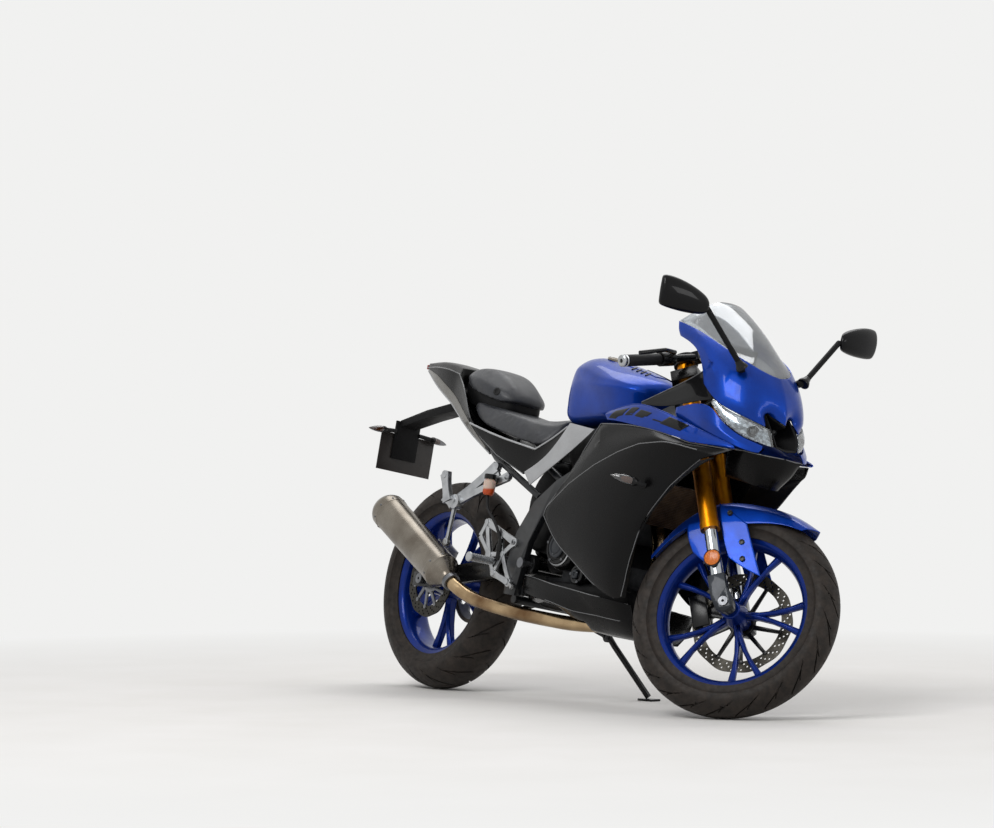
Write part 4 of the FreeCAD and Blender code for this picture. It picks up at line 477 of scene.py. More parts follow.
def clear_polycarbonate(name, tint, rough=0.03, haze=0.10):
    """Clear plastic: mostly let through, with a gloss that grows at grazing angles."""
    material, tree, place = new_finish(name)
    scuffs = patches(tree, place, 18, rough, rough + 0.05, 4)
    gloss = add(tree, "ShaderNodeBsdfGlossy", None, {"Roughness": scuffs})
    through = add(tree, "ShaderNodeBsdfTransparent", {"Color": linear(tint)})
    fresnel = add(tree, "ShaderNodeFresnel", {"IOR": 1.58}).outputs[0]
    share = add(tree, "ShaderNodeMath", {"operation": "MULTIPLY_ADD", 1: 0.8, 2: haze}, {0: fresnel})
    mixed = add(tree, "ShaderNodeMixShader", None,
                {0: share.outputs[0], 1: through.outputs[0], 2: gloss.outputs[0]})
    add(tree, "ShaderNodeOutputMaterial", None, {"Surface": mixed.outputs[0]})
    return material


def coloured_acrylic(name, colour, deep):
    """A lamp lens or reflector with small prisms."""
    material, tree, place = new_finish(name)
    rise, prisms = domes(tree, place, 0.25, 0.4, 0.2)
    shade = add(tree, "ShaderNodeMix", {"data_type": "RGBA", 6: linear(deep), 7: linear(colour)}, {0: rise})
    gloss = add(tree, "ShaderNodeMapRange", {"From Min": 0.3, "From Max": 0.7, "To Min": 0.15, "To Max": 0.3},
                {"Value": rise})
    shaded(tree, {"Metallic": 0.0, "IOR": 1.49, "Specular IOR Level": 0.3, "Coat Weight": 0.3,
                  "Coat Roughness": 0.03},
           {"Base Color": shade.outputs[2], "Roughness": gloss.outputs["Result"], "Normal": prisms})
    return material


SCREEN_PLASTIC = clear_polycarbonate("clear_windscreen_polycarbonate", "#E6EAEE")
LENS_PLASTIC = clear_polycarbonate("clear_lens_polycarbonate", "#F2F5F7", 0.02, 0.06)
AMBER_ACRYLIC = coloured_acrylic("amber_acrylic", "#EE8212", "#B85A06")
RED_ACRYLIC = coloured_acrylic("red_acrylic", "#B01210", "#6A0808")

# %% [markdown]
# The record gives every node a material slot. This table says which finish stands for each slot, and
# the nodes that stay as they are take it straight away.

# %% Finishes for the nodes that stay
FINISH_OF_SLOT = {
    "tyre": TYRE_RUBBER, "wheel_blue": WHEEL_ENAMEL, "disc_steel": DISC_STEEL, "axle_steel": ZINC_STEEL,
    "chain_steel": CHAIN_STEEL, "gold_tube": GOLD_ANODISED, "chrome_tube": HARD_CHROME,
    "black_metal": BLACK_ENAMEL, "black_frame": FRAME_ENAMEL, "grey_casting": CRANKCASE_CASTING,
    "bright_aluminium": CAST_ALUMINIUM, "body_blue": BLUE_LACQUER, "body_black": SATIN_ABS,
    "body_silver": SILVER_LACQUER, "body_grey": GREY_LACQUER, "trim_black": GRAINED_POLYPROPYLENE,
    "seat_vinyl": SEAT_VINYL, "grip_rubber": GRIP_RUBBER, "clear_plastic": LENS_PLASTIC,
    "amber_plastic": AMBER_ACRYLIC, "red_plastic": RED_ACRYLIC, "muffler_steel": BRUSHED_STAINLESS,
    "pipe_steel": TINTED_STAINLESS, "plate_grey": PLATE_PAINT, "radiator_grey": RADIATOR_FINS,
}
slot_of_node = {}
for node, thing in nodes.items():
    for slot in thing.material_slots:
        slot_of_node[node] = slot.material.name.split(".")[0]
        slot.material = FINISH_OF_SLOT[slot_of_node[node]]
print(len(slot_of_node), "nodes have a finish")

# %% [markdown]
# ## Wheels
# A wheel is drawn straight up in its own place: the axle along Y, in metres from the axle's middle.
# FRONT_WHEEL and REAR_WHEEL carry such a drawing to where the leaning bike has it.

# %% Wheel placements
FRONT_WHEEL = (STEERED @ Matrix.Translation(FRONT_AXLE) @ Matrix.Rotation(-RAKE, 4, "Y"))
REAR_WHEEL = STANDING @ Matrix.Translation(REAR_AXLE)


def placed(piece, place):
    """Moves the mesh of a piece that was drawn at the origin."""
    settle(piece)
    piece.data.transform(place)
    return piece


def joined(parts, name):
    """Several meshes as one piece."""
    unselect()
    for part in parts:
        part.select_set(True)
    bpy.context.view_layer.objects.active = parts[0]
    if len(parts) > 1:
        bpy.ops.object.join()
    return named(name)


def outward(piece):
    """Merges doubled corners and points every face outwards."""
    only(piece)
    bpy.ops.object.mode_set(mode="EDIT")
    bpy.ops.mesh.select_all(action="SELECT")
    bpy.ops.mesh.remove_doubles(threshold=0.00005)
    bpy.ops.mesh.normals_make_consistent(inside=False)
    bpy.ops.object.mode_set(mode="OBJECT")
    return piece


def turned_ring(profile, steps, name):
    """A closed profile of (radius, across) in millimetres, spun round the wheel's axle."""
    unselect()
    bpy.ops.mesh.primitive_circle_add(vertices=len(profile), radius=0.1, location=(0, 0, 0))
    ring = named(name)
    for corner, (radius, across) in zip(ring.data.vertices, profile):
        corner.co = (radius / 1000, across / 1000, 0)
    bpy.ops.object.mode_set(mode="EDIT")
    bpy.ops.mesh.select_all(action="SELECT")
    bpy.ops.mesh.spin(steps=steps, angle=math.tau, center=(0, 0, 0), axis=(0, 1, 0))
    bpy.ops.object.mode_set(mode="OBJECT")
    return outward(ring)


def turned_part(name, profile, steps, place, crisp, body, material, *replaced):
    """A turned piece in its place, smoothed up to a crisp edge's angle, with its finish and its body."""
    thing = turned_ring(profile, steps, name)
    thing.data.transform(place)
    smooth(thing, crisp)
    return fit(thing, body, material, *replaced)


# %% [markdown]
# A road tyre has a round tread with slanted rain grooves that curve back towards the shoulder.
# The carcass is spun from a rounded profile, and one boolean cuts all the grooves. Each groove is a
# bent bar that is widest near the shoulder, and every second one is short.

# %% Tyre helpers
BEAD_TOP = 238
BEAD_SEAT = 233.5
BEAD_INSIDE = 216.2
GROOVE_DEPTH = 4.2
DEGREES_IN_A_RADIAN = 57.3


def tyre_profile(radius, half_width, crown, bead_half):
    """Outline of a tyre: tread arc, side walls and beads, then the same inside."""
    middle = radius - crown
    reach_angle = math.asin(half_width / crown) if half_width < crown else math.radians(88)
    outer = []
    for step in range(-8, 9):
        turn = reach_angle * step / 8
        outer.append((middle + crown * math.cos(turn), crown * math.sin(turn)))
    shoulder = outer[-1][0]
    wall = ((shoulder - 8, half_width + 1.2), (shoulder - 20, half_width - 0.5),
            (BEAD_TOP, bead_half + 3.0), (BEAD_SEAT, bead_half + 0.5))
    right = [(wide, -across) for wide, across in reversed(wall)]
    inner = [(BEAD_INSIDE, bead_half - 1.5), (BEAD_INSIDE, bead_half - 9), (shoulder - 12, half_width - 8),
             (middle + crown - 9, 0), (shoulder - 12, 8 - half_width), (BEAD_INSIDE, 9 - bead_half),
             (BEAD_INSIDE, 1.5 - bead_half)]
    return right + outer + list(wall) + inner


def groove(radius, crown, start, end, sweep, width):
    """One rain groove: a bent bar over the tread, given by two angles across it and its sweep along it."""
    bar = block("groove", 5)
    middle = radius - crown
    for corner in bar.data.vertices:
        along = corner.co.x + 0.5
        turn = math.radians(start + (end - start) * along)
        wide = width * (0.35 + 0.65 * math.sin(math.pi * min(1, along * 1.15)))
        spin = math.radians((sweep * along ** 1.5) + corner.co.y * wide / radius * DEGREES_IN_A_RADIAN)
        lift = crown + (2 if corner.co.z > 0 else -GROOVE_DEPTH)
        out = middle + lift * math.cos(turn)
        across = lift * math.sin(turn)
        corner.co = (out * math.cos(spin) / 1000, across / 1000, out * math.sin(spin) / 1000)
    return bar


def road_tyre(name, body, node, place, radius, half_width, crown, bead_half, count, drive):
    """A tyre with its grooves cut, on its wheel."""
    carcass = turned_ring(tyre_profile(radius, half_width, crown, bead_half), 144, name)
    edge = math.degrees(math.asin(min(0.98, half_width / crown)))
    kinds = (
        # start and end across the tread, sweep along it, width, turn against the first kind
        (4, edge * 0.88, 17, 9, 0),
        (edge * 0.4, edge * 0.97, 10, 6.5, 180 / count),
    )
    cutters = []
    for side, _ in SIDES:
        for number in range(count):
            turn = 360 / count * (number + (0.5 if side > 0 else 0))
            for start, end, sweep, width, shift in kinds:
                bar = groove(radius, crown, side * start, side * end, drive * sweep, width)
                bar.data.transform(Matrix.Rotation(-math.radians(turn + shift), 4, "Y"))
                cutters.append(bar)
    grooves = outward(joined(cutters, "grooves"))
    cut_by(carcass, grooves)
    apply_all(carcass)
    bpy.data.objects.remove(grooves)
    placed(carcass, place)
    smooth(carcass, 32)
    fit(carcass, body, TYRE_RUBBER, node)
    print(name, len(carcass.data.polygons), "faces")


# %% Both tyres
TYRES = (
    # piece, body, node, place, radius, half width, tread arc, half width at the bead, grooves, their way
    ("front_tyre_treaded", "front_wheel", "front_tyre", FRONT_WHEEL, 296, 50, 54, 41, 22, 1),
    ("rear_tyre_treaded", "rear_wheel", "rear_tyre", REAR_WHEEL, 314, 70, 74, 57, 20, -1),
)
for tyre in TYRES:
    road_tyre(*tyre)

# %% [markdown]
# The wheels are cast aluminium in blue enamel: a stepped rim with a thin lip, and five spokes that
# each split into two slim arms with a sharp ridge. One arm is a cube that is stretched, tapered and
# bevelled, and its mirrored twin and the turned copies make the rest.

# %% Wheel helpers
SPOKES = 5
ARM_END = 196


def spoke_arm(inner, outer, spread, wide, thick):
    """One arm of a spoke from the hub to the rim, in millimetres; spread is its angle at the rim."""
    arm = block("arm", 3)
    for corner in arm.data.vertices:
        along = corner.co.x + 0.5
        out = inner + (outer - inner) * along
        bulge = 1 + 0.55 * (abs(2 * along - 1) ** 3)
        ridge = 1 - 0.75 * abs(corner.co.z) ** 1.2 * 1.4
        depth = thick * (1.25 - 0.45 * along)
        turn = math.radians(spread * min(1, along * 1.02))
        place = Vector((out, corner.co.y * depth * ridge, corner.co.z * wide * bulge))
        place.rotate(Matrix.Rotation(-turn, 3, "Y"))
        corner.co = place / 1000
    return arm


def mirrored(points):
    """The other half of an outline of (radius, across), in reverse."""
    return [(radius, -across) for radius, across in reversed(points)]


def cast_wheel(name, body, node, place, half, spread, wide, thick, hub_radius, hub_low, hub_high, hollow):
    """Rim, ten arms and hub of one wheel."""
    step = half - 3
    well = [(232, half), (229, half), (226.5, step), (222, step - 1.5), (208, step - 5), (203, step - 9),
            (198, step - 16), (195, step - 26)]
    inside = [(200, half - 22), (213, half - 14), (216, half - 6), (232.2, half - 2.5)]
    rim = well + [(192.5, 0)] + mirrored(well) + mirrored(inside) + [(197.5, 0)] + inside
    parts = [turned_ring(rim, 120, name)]
    for number in range(SPOKES):
        for side, _ in SIDES:
            arm = spoke_arm(hub_radius - 6, ARM_END, side * spread, wide, thick)
            arm.data.transform(Matrix.Rotation(math.radians(360 / SPOKES * number + 90), 4, "Y"))
            parts.append(arm)
    neck = hub_radius - 6
    hub = [(hollow, hub_low), (neck - 3, hub_low), (neck, hub_low + 3), (neck, hub_low + 14),
           (hub_radius, -16), (hub_radius + 2, 0), (hub_radius, 16), (neck, hub_high - 14),
           (neck, hub_high - 3), (neck - 3, hub_high), (hollow, hub_high)]
    parts.append(turned_ring(hub, 48, "hub"))
    wheel = bevelled(outward(joined(parts, name)), 0.0012, 38)
    placed(wheel, place)
    smooth(wheel, 34)
    fit(wheel, body, WHEEL_ENAMEL, node)
    print(name, len(wheel.data.polygons), "faces")


# %% Both wheels
WHEELS = (
    # piece, body, node, place, half width, angle of an arm, width and depth of an arm, hub radius,
    # both ends of the hub, bore
    ("front_wheel_cast", "front_wheel", "front_rim", FRONT_WHEEL, 41, 12, 13, 26, 34, -52, 58.7, 9),
    ("rear_wheel_cast", "rear_wheel", "rear_rim", REAR_WHEEL, 57, 12, 17, 32, 42, -81.7, 79, 9.4),
)
for wheel in WHEELS:
    cast_wheel(*wheel)

# %% [markdown]
# The brake discs are steel rings ground flat, with a wavy edge and rows of small holes. The front one
# floats on a black carrier. The holes are one boolean of many thin pins, made once and copied.

# %% Brake discs
DISC_HALF = 2.25
WAVES = 10
WAVE_DEPTH = 0.022
CARRIER_ARMS = 10
ARM_SLANT = 16


def pin_across(x, y, z, radius, depth, sides):
    """A plain pin along the axle, in millimetres."""
    unselect()
    bpy.ops.mesh.primitive_cylinder_add(vertices=sides, radius=radius / 1000, depth=depth / 1000,
                                        rotation=(math.pi / 2, 0, 0), location=(x / 1000, y / 1000, z / 1000))
    return bpy.context.object


def drilled_disc(name, body, node, place, across, radius, band, hub, holes, carrier_finish):
    """Swept ring with holes, and the arms that carry it."""
    inner = radius - band
    section = [(inner, -DISC_HALF), (radius, -DISC_HALF), (radius, DISC_HALF), (inner, DISC_HALF)]
    ring = turned_ring(section, 180, name)
    for corner in ring.data.vertices:
        if math.hypot(corner.co.x, corner.co.z) > (radius - 3) / 1000:
            turn = math.atan2(corner.co.z, corner.co.x)
            ease = 1 - WAVE_DEPTH * (0.5 + 0.5 * math.cos(WAVES * turn))
            corner.co.x *= ease
            corner.co.z *= ease
    pins = []
    for number in range(holes):
        for row, out in enumerate((inner + 8, radius - band / 2, radius - 9)):
            turn = math.tau * (number + row * 0.33) / holes
            pins.append(pin_across(out * math.cos(turn), 0, out * math.sin(turn), 3, 20, 10))
    drill = settle(joined(pins, "drill"))
    cut_by(ring, drill)
    bevelled(ring, 0.0004, segments=1)
    bpy.data.objects.remove(drill)
    ring.data.transform(moved(0, across, 0))
    placed(ring, place)
    smooth(ring, 40)
    fit(ring, body, DISC_STEEL, node)
    parts = []
    for number in range(CARRIER_ARMS):
        turn = Matrix.Rotation(-math.tau * number / CARRIER_ARMS, 4, "Y")
        arm = block("arm")
        for corner in arm.data.vertices:
            out, wide, slant = (hub - 1, 7, 0) if corner.co.x < 0 else (inner + 2, 5, ARM_SLANT)
            wide = wide if corner.co.z > 0 else -wide
            corner.co = (out / 1000, (across + corner.co.y * 5) / 1000, (wide + slant) / 1000)
        button = settle(pin_across(inner + 1, across, ARM_SLANT, 6.5, 8, 16))
        for part in (arm, button):
            part.data.transform(turn)
            parts.append(part)
    boss = [(14.2, across - 3), (hub, across - 3), (hub + 4, across), (hub, across + 3), (14.2, across + 3)]
    parts.append(turned_ring(boss, 48, "boss"))
    carrier = bevelled(joined(parts, name + "_carrier"), 0.0006)
    placed(carrier, place)
    smooth(carrier, 35)
    fit(carrier, body, carrier_finish)
    print(name, len(ring.data.polygons), "faces")


DISCS = (
    # piece, body, node, place, place along the axle, radius, width of the ring, hub radius, holes, carrier
    ("front_disc_drilled", "front_wheel", "front_disc", FRONT_WHEEL, 61, 146, 33, 36, 30, BLACK_ENAMEL),
    ("rear_disc_drilled", "rear_wheel", "rear_disc", REAR_WHEEL, -84, 110, 33, 34, 24, ZINC_STEEL),
)
for disc in DISCS:
    drilled_disc(*disc)

# %% [markdown]
# ## Castings, brackets and tubes
# These solids already have their shape, with knife-sharp edges that no casting has. Each copy is
# merged, freed of the triangles on its flat faces, and gets a bevel that shows as a thin light line.

# %% Bevelled copies
FLAT_WITHIN = math.radians(1.5)


def eased(node, name, material, width):
    """A copy of a hard-edged node with its edges rounded."""
    copy = from_node(node, name)
    bpy.ops.object.mode_set(mode="EDIT")
    bpy.ops.mesh.select_all(action="SELECT")
    bpy.ops.mesh.dissolve_limited(angle_limit=FLAT_WITHIN)
    bpy.ops.object.mode_set(mode="OBJECT")
    bevelled(copy, width)
    smooth(copy, 32)
    fit(copy, body_of_node[node], material, node)


EASED = (
    # node, piece, finish, bevel in metres
    ("main_frame", "frame_beams", FRAME_ENAMEL, 0.004),
    ("swingarm", "swingarm_beams", BLACK_ENAMEL, 0.003),
    ("seat_rails", "rear_frame_tubes", FRAME_ENAMEL, 0.001),
    ("engine_block", "crankcase", CRANKCASE_CASTING, 0.006),
    ("engine_covers", "engine_cover_castings", BLACK_ENAMEL, 0.003),
    ("triple_clamps", "fork_clamps", BLACK_ENAMEL, 0.002),
    ("fork_feet", "fork_foot_castings", GREY_LACQUER, 0.004),
    ("front_caliper", "front_brake_caliper", BLACK_ENAMEL, 0.004),
    ("rear_caliper", "rear_brake_caliper", CAST_ALUMINIUM, 0.003),
    ("plate_holder", "plate_carrier", GRAINED_POLYPROPYLENE, 0.003),
    ("number_plate", "blank_plate", PLATE_PAINT, 0.0008),
    ("side_stand", "side_stand_leg", BLACK_ENAMEL, 0.001),
    ("instrument_panel", "instrument_case", GRAINED_POLYPROPYLENE, 0.004),
    ("handlebars", "clip_on_bars", BLACK_ENAMEL, 0.001),
    ("bar_controls", "levers_and_switches", BLACK_ENAMEL, 0.0008),
    ("grips", "rubber_grips", GRIP_RUBBER, 0.0015),
    ("tail_light", "tail_lamp", RED_ACRYLIC, 0.002),
    ("cowl_stay", "cowl_bracket", FRAME_ENAMEL, 0.0006),
)
for node, name, material, width in EASED:
    eased(node, name, material, width)
print(len(EASED), "pieces eased")

# %% [markdown]
# ## Finer body panels
# Where the photograph shows more shape than the solid has, the panel is drawn again from its own rows
# of points. A grid primitive gives the faces, its corners move to the rows, chosen rows are creased,
# and then it is subdivided, thickened inwards and bevelled along its rim.

# %% Grid panel helper


def grid_sheet(name, rows, place):
    """An open sheet through rows of points (x, y, z) of the upright drawing."""
    across, down = len(rows[0]), len(rows)
    unselect()
    bpy.ops.mesh.primitive_grid_add(x_subdivisions=across - 1, y_subdivisions=down - 1, size=1)
    sheet = named(name)
    for row, entries in enumerate(rows):
        for column, entry in enumerate(entries):
            sheet.data.vertices[row * across + column].co = place(*entry)
    return sheet


def crease_lines(sheet, across, rows=(), columns=(), corners=(), sharpness=0.8):
    """Creases whole rows and columns of a grid sheet, and pins single corners."""
    shape = bmesh.new()
    shape.from_mesh(sheet.data)
    shape.verts.ensure_lookup_table()
    crease = shape.edges.layers.float.new("crease_edge")
    pin = shape.verts.layers.float.new("crease_vert")
    for edge in shape.edges:
        first, second = sorted(point.index for point in edge.verts)
        if first // across == second // across and first // across in rows:
            edge[crease] = sharpness
        if first % across == second % across and first % across in columns:
            edge[crease] = sharpness
    for row, column in corners:
        shape.verts[row * across + column][pin] = 1.0
    shape.to_mesh(sheet.data)
    shape.free()


def face_away(sheet, inside):
    """Turns an open sheet so that its faces look away from a point."""
    facing = 0
    for face in sheet.data.polygons:
        away = face.normal.dot(face.center - inside) > 0
        facing += face.area * (1 if away else -1)
    if facing < 0:
        sheet.data.flip_normals()
    return sheet


def skinned(sheet, wall=0.003, levels=3, rim=0.0007):
    """Subdivides a sheet, thickens it inwards and rounds its rim."""
    divided(sheet, levels).boundary_smooth = "PRESERVE_CORNERS"
    thick = sheet.modifiers.new("wall", "SOLIDIFY")
    thick.thickness = wall
    thick.offset = -1
    thick.use_even_offset = True
    bevelled(sheet, rim, 55)
    return smooth(sheet, 36)


def pair_of_panels(name, rows, material, body, replaced, inside, place=standing, creased_rows=(),
                   wall=0.003, sharpness=0.8):
    """The same panel on both sides; the rows give (x, distance from the middle, z)."""
    for side, word in SIDES:
        sheet = grid_sheet(f"{name}_{word}", [[(x, side * y, z) for x, y, z in row] for row in rows], place)
        crease_lines(sheet, len(rows[0]), creased_rows, sharpness=sharpness)
        face_away(sheet, place(*inside))
        skinned(sheet, wall)
        fit(sheet, body, material, *(replaced if side < 0 else ()))
    print(name, "both sides")


def wrap_panel(name, rows, material, body, replaced, inside, place=standing, creased_columns=(),
               corners=(), wall=0.003, sharpness=0.8):
    """A panel over the middle; each row runs from the right edge to the middle, and is mirrored."""
    whole = [[(x, -y, z) for x, y, z in row] + [(x, y, z) for x, y, z in reversed(row[:-1])] for row in rows]
    across = len(whole[0])
    sheet = grid_sheet(name, whole, place)
    lines = (*creased_columns, *(across - 1 - column for column in creased_columns))
    pins = (*corners, *((row, across - 1 - column) for row, column in corners))
    crease_lines(sheet, across, (), lines, pins, sharpness)
    face_away(sheet, place(*inside))
    skinned(sheet, wall)
    fit(sheet, body, material, *replaced)
    print(name, len(sheet.data.polygons), "faces")


# %% [markdown]
# The upper cowl is one blue moulding from the ears beside the screen down to a pointed nose. Its lower
# edge follows the tops of the two lamps and rises into the two points of the dark intake between them.

# %% Upper cowl
COWL_ROWS = (
    ((1070, 126, 1090), (1165, 122, 1064), (1235, 113, 1032), (1295, 101, 1005),
     (1340, 85, 984), (1372, 57, 965), (1390, 29, 954), (1398, 0, 949)),
    ((1078, 131, 1076), (1178, 133, 1046), (1250, 131, 1008), (1312, 122, 972),
     (1362, 103, 942), (1400, 74, 924), (1418, 38, 914), (1426, 0, 910)),
    ((1084, 133, 1064), (1188, 136, 1028), (1256, 141, 978), (1318, 140, 926),
     (1372, 120, 893), (1412, 86, 874), (1428, 46, 876), (1444, 0, 866)),
    ((1090, 132, 1052), (1196, 136, 1014), (1268, 141, 972), (1316, 150, 884),
     (1374, 128, 852), (1424, 88, 824), (1420, 45, 862), (1451, 0, 836)),
    ((1093, 130, 1046), (1200, 135, 1010), (1262, 154, 906), (1308, 152, 866),
     (1362, 133, 836), (1440, 60, 806), (1403, 44, 850), (1452, 0, 819)),
)
wrap_panel("upper_cowl_moulding", COWL_ROWS, BLUE_LACQUER, "chassis", ("upper_cowl",), (1250, 0, 880),
           creased_columns=(7,), corners=((4, 2), (4, 5), (4, 6), (4, 7), (3, 2)), sharpness=0.55)

# %% [markdown]
# Each headlamp is a long clear lens that sweeps back to a point. Behind it stands a bright reflector
# with small facets, and a dark bezel round a round projector.

# %% Headlamps
LAMP_ROWS = (
    ((1307, 150, 866), (1352, 135.5, 843), (1395, 112, 826), (1432, 72, 808), (1450, 50, 798)),
    ((1307, 151, 860), (1357, 144, 824), (1404, 120, 798), (1443, 84, 783), (1464, 48, 774)),
    ((1308, 150.5, 854), (1350, 143, 806), (1396, 118, 775), (1432, 86, 761), (1469, 44, 751)),
)


def faceted_reflector():
    """Vacuum-metallised plastic with facets about 7 mm across."""
    material, tree, place = new_finish("vacuum_metallised_reflector")
    facets = add(tree, "ShaderNodeTexVoronoi", {"Scale": 0.14}, {"Vector": place}).outputs["Color"]
    tone = add(tree, "ShaderNodeSeparateColor", None, {"Color": facets}).outputs["Red"]
    shade = add(tree, "ShaderNodeMix", {"data_type": "RGBA", 6: linear("#6E7276"), 7: linear("#E4E7EA")},
                {0: tone})
    polish = add(tree, "ShaderNodeMapRange", {"To Min": 0.12, "To Max": 0.3}, {"Value": tone})
    steps = add(tree, "ShaderNodeBump", {"Strength": 1.0, "Distance": 0.003}, {"Height": tone})
    shaded(tree, {"Metallic": 0.9},
           {"Base Color": shade.outputs[2], "Roughness": polish.outputs["Result"],
            "Normal": steps.outputs["Normal"]})
    return material


REFLECTOR_FACETS = faceted_reflector()
REFLECTOR_BACK = 12
REFLECTOR_SHRINK = 0.97


def behind(rows):
    """The lens rows drawn together and moved back, for the reflector."""
    points = [point for row in rows for point in row]
    middle = Vector([sum(point[axis] for point in points) / len(points) for axis in range(3)])
    back = Vector((REFLECTOR_BACK, REFLECTOR_BACK * 0.35, 0))
    return [[middle + (Vector(point) - middle) * REFLECTOR_SHRINK - back for point in row] for row in rows]


pair_of_panels("headlamp_lens", LAMP_ROWS, LENS_PLASTIC, "chassis", ("headlights",), (1300, 0, 780),
               wall=0.0025)
pair_of_panels("headlamp_reflector", behind(LAMP_ROWS), REFLECTOR_FACETS, "chassis", (), (1300, 0, 780),
               wall=0.002)


def lamp_unit(name, middle, aim, radius, depth, material):
    """A turned lamp unit: a dished glass in a bezel."""
    profile = [(0.5, depth * 0.35), (radius * 0.5, depth * 0.28), (radius * 0.8, depth * 0.1),
               (radius * 0.86, 0), (radius * 0.9, depth * 0.3), (radius, depth * 0.3), (radius, -depth),
               (0.5, -depth)]
    turned_part(name, profile, 32, Matrix.Translation(middle) @ aimed(aim), 35, "chassis", material)


for side, word in SIDES:
    aim = STANDING.to_3x3() @ Vector((1, side * 0.25, -0.05))
    lamp_unit(f"lamp_projector_{word}", standing(1424, side * 84, 786), aim, 13, 10, SCREEN_PLASTIC)
    lamp_unit(f"lamp_bezel_{word}", standing(1421, side * 83, 786), aim, 16, 12, BLACK_LACQUER)

# %% [markdown]
# The intake between the lamps is a dark duct with a W-shaped top edge. Its mouth is a flat outline that
# is extruded and drawn inwards four times, so it has a lip and then a deep dark hole.

# %% Intake
MOUTH = ((1404, 42, 849), (1449, 0, 816), (1404, -42, 849), (1449, -47, 797), (1463, -44, 773),
         (1470, -36, 750), (1472, 0, 744), (1470, 36, 750), (1463, 44, 773), (1449, 47, 797))
MOUTH_STEPS = (
    # size against the mouth, move along the bike in metres
    (0.9, -0.001), (0.84, -0.012), (0.6, -0.05), (0.3, -0.06),
)
corners = len(MOUTH)
unselect()
bpy.ops.mesh.primitive_circle_add(vertices=corners, radius=0.1, fill_type="NOTHING")
intake = named("nose_intake")
for corner, entry in zip(intake.data.vertices, MOUTH):
    corner.co = standing(*entry)
middle = standing(1440, 0, 785)
for shrink, back in MOUTH_STEPS:
    bpy.ops.object.mode_set(mode="EDIT")
    bpy.ops.mesh.select_all(action="DESELECT")
    bpy.ops.object.mode_set(mode="OBJECT")
    for corner in intake.data.vertices[-corners:]:
        corner.select = True
    bpy.ops.object.mode_set(mode="EDIT")
    bpy.ops.mesh.select_mode(type="VERT")
    bpy.ops.mesh.extrude_region_move()
    bpy.ops.object.mode_set(mode="OBJECT")
    for corner, entry in zip(intake.data.vertices[-corners:], MOUTH):
        corner.co = middle + (standing(*entry) - middle) * shrink + STANDING.to_3x3() @ Vector((back, 0, 0))
shape = bmesh.new()
shape.from_mesh(intake.data)
shape.verts.ensure_lookup_table()
last = range(len(shape.verts) - corners, len(shape.verts))
shape.faces.new([shape.verts[index] for index in last])
shape.to_mesh(intake.data)
shape.free()
face_away(intake, standing(1300, 0, 785))
thick = intake.modifiers.new("wall", "SOLIDIFY")
thick.thickness = 0.002
thick.offset = -1
apply_all(intake)
smooth(intake, 30)
fit(intake, "chassis", GRAINED_POLYPROPYLENE, "nose_duct")
print("intake", len(intake.data.vertices), "corners")

# %% [markdown]
# The front mudguard is an arch over the tyre with a keel along its middle. On each side a flat blade
# drops inside the fork leg to its two bolts, with a sharp corner in front of the leg.

# %% Front mudguard
GUARD_ROWS = (
    # edge, shoulder, half way, keel
    ((1068, 50, 394), (1062, 44, 404), (1056, 24, 414), (1054, 0, 418)),
    ((1118, 60, 480), (1108, 52, 496), (1100, 28, 508), (1098, 0, 512)),
    ((1180, 64, 520), (1164, 58, 552), (1156, 32, 566), (1154, 0, 570)),
    ((1228, 72, 532), (1222, 68, 584), (1220, 38, 602), (1220, 0, 606)),
    ((1318, 66, 541), (1296, 62, 586), (1290, 36, 612), (1290, 0, 618)),
    ((1372, 60, 556), (1378, 56, 590), (1382, 32, 611), (1384, 0, 618)),
    ((1428, 56, 562), (1438, 50, 580), (1446, 28, 596), (1450, 0, 602)),
    ((1470, 50, 556), (1484, 42, 566), (1496, 22, 574), (1506, 0, 577)),
)
wrap_panel("mudguard_arch", GUARD_ROWS, BLUE_LACQUER, "steering", ("front_mudguard",), (1340, 0, 300),
           place=steered, creased_columns=(1, 3), corners=((4, 0), (3, 0)), wall=0.0025, sharpness=0.7)
BLADE_ROWS = (
    ((1222, 71, 584), (1262, 69.5, 566), (1318, 67, 541)),
    ((1236, 73, 548), (1280, 72, 520), (1345, 69, 495)),
    ((1262, 76, 490), (1312, 75, 470), (1375, 71, 446)),
    ((1300, 77, 432), (1345, 76, 412), (1405, 72, 398)),
)
REAR_BLADE_ROWS = (
    ((1148, 66, 508), (1188, 69, 526), (1230, 72, 534)),
    ((1158, 67, 470), (1198, 70, 472), (1238, 72, 476)),
    ((1190, 68, 430), (1214, 70, 416), (1242, 72, 404)),
)
BLADES = (("mudguard_rear_blade", REAR_BLADE_ROWS, 1250), ("mudguard_blade", BLADE_ROWS, 1300))
for name, rows, along in BLADES:
    pair_of_panels(name, rows, BLUE_LACQUER, "steering", (), (along, 0, 480), place=steered, wall=0.0025)

# %% [markdown]
# The tank is pressed steel: a crowned top, a crest along each shoulder and a hollow below it for the
# knees. It is lofted through half sections, closed at both ends, creased along the crest and subdivided.

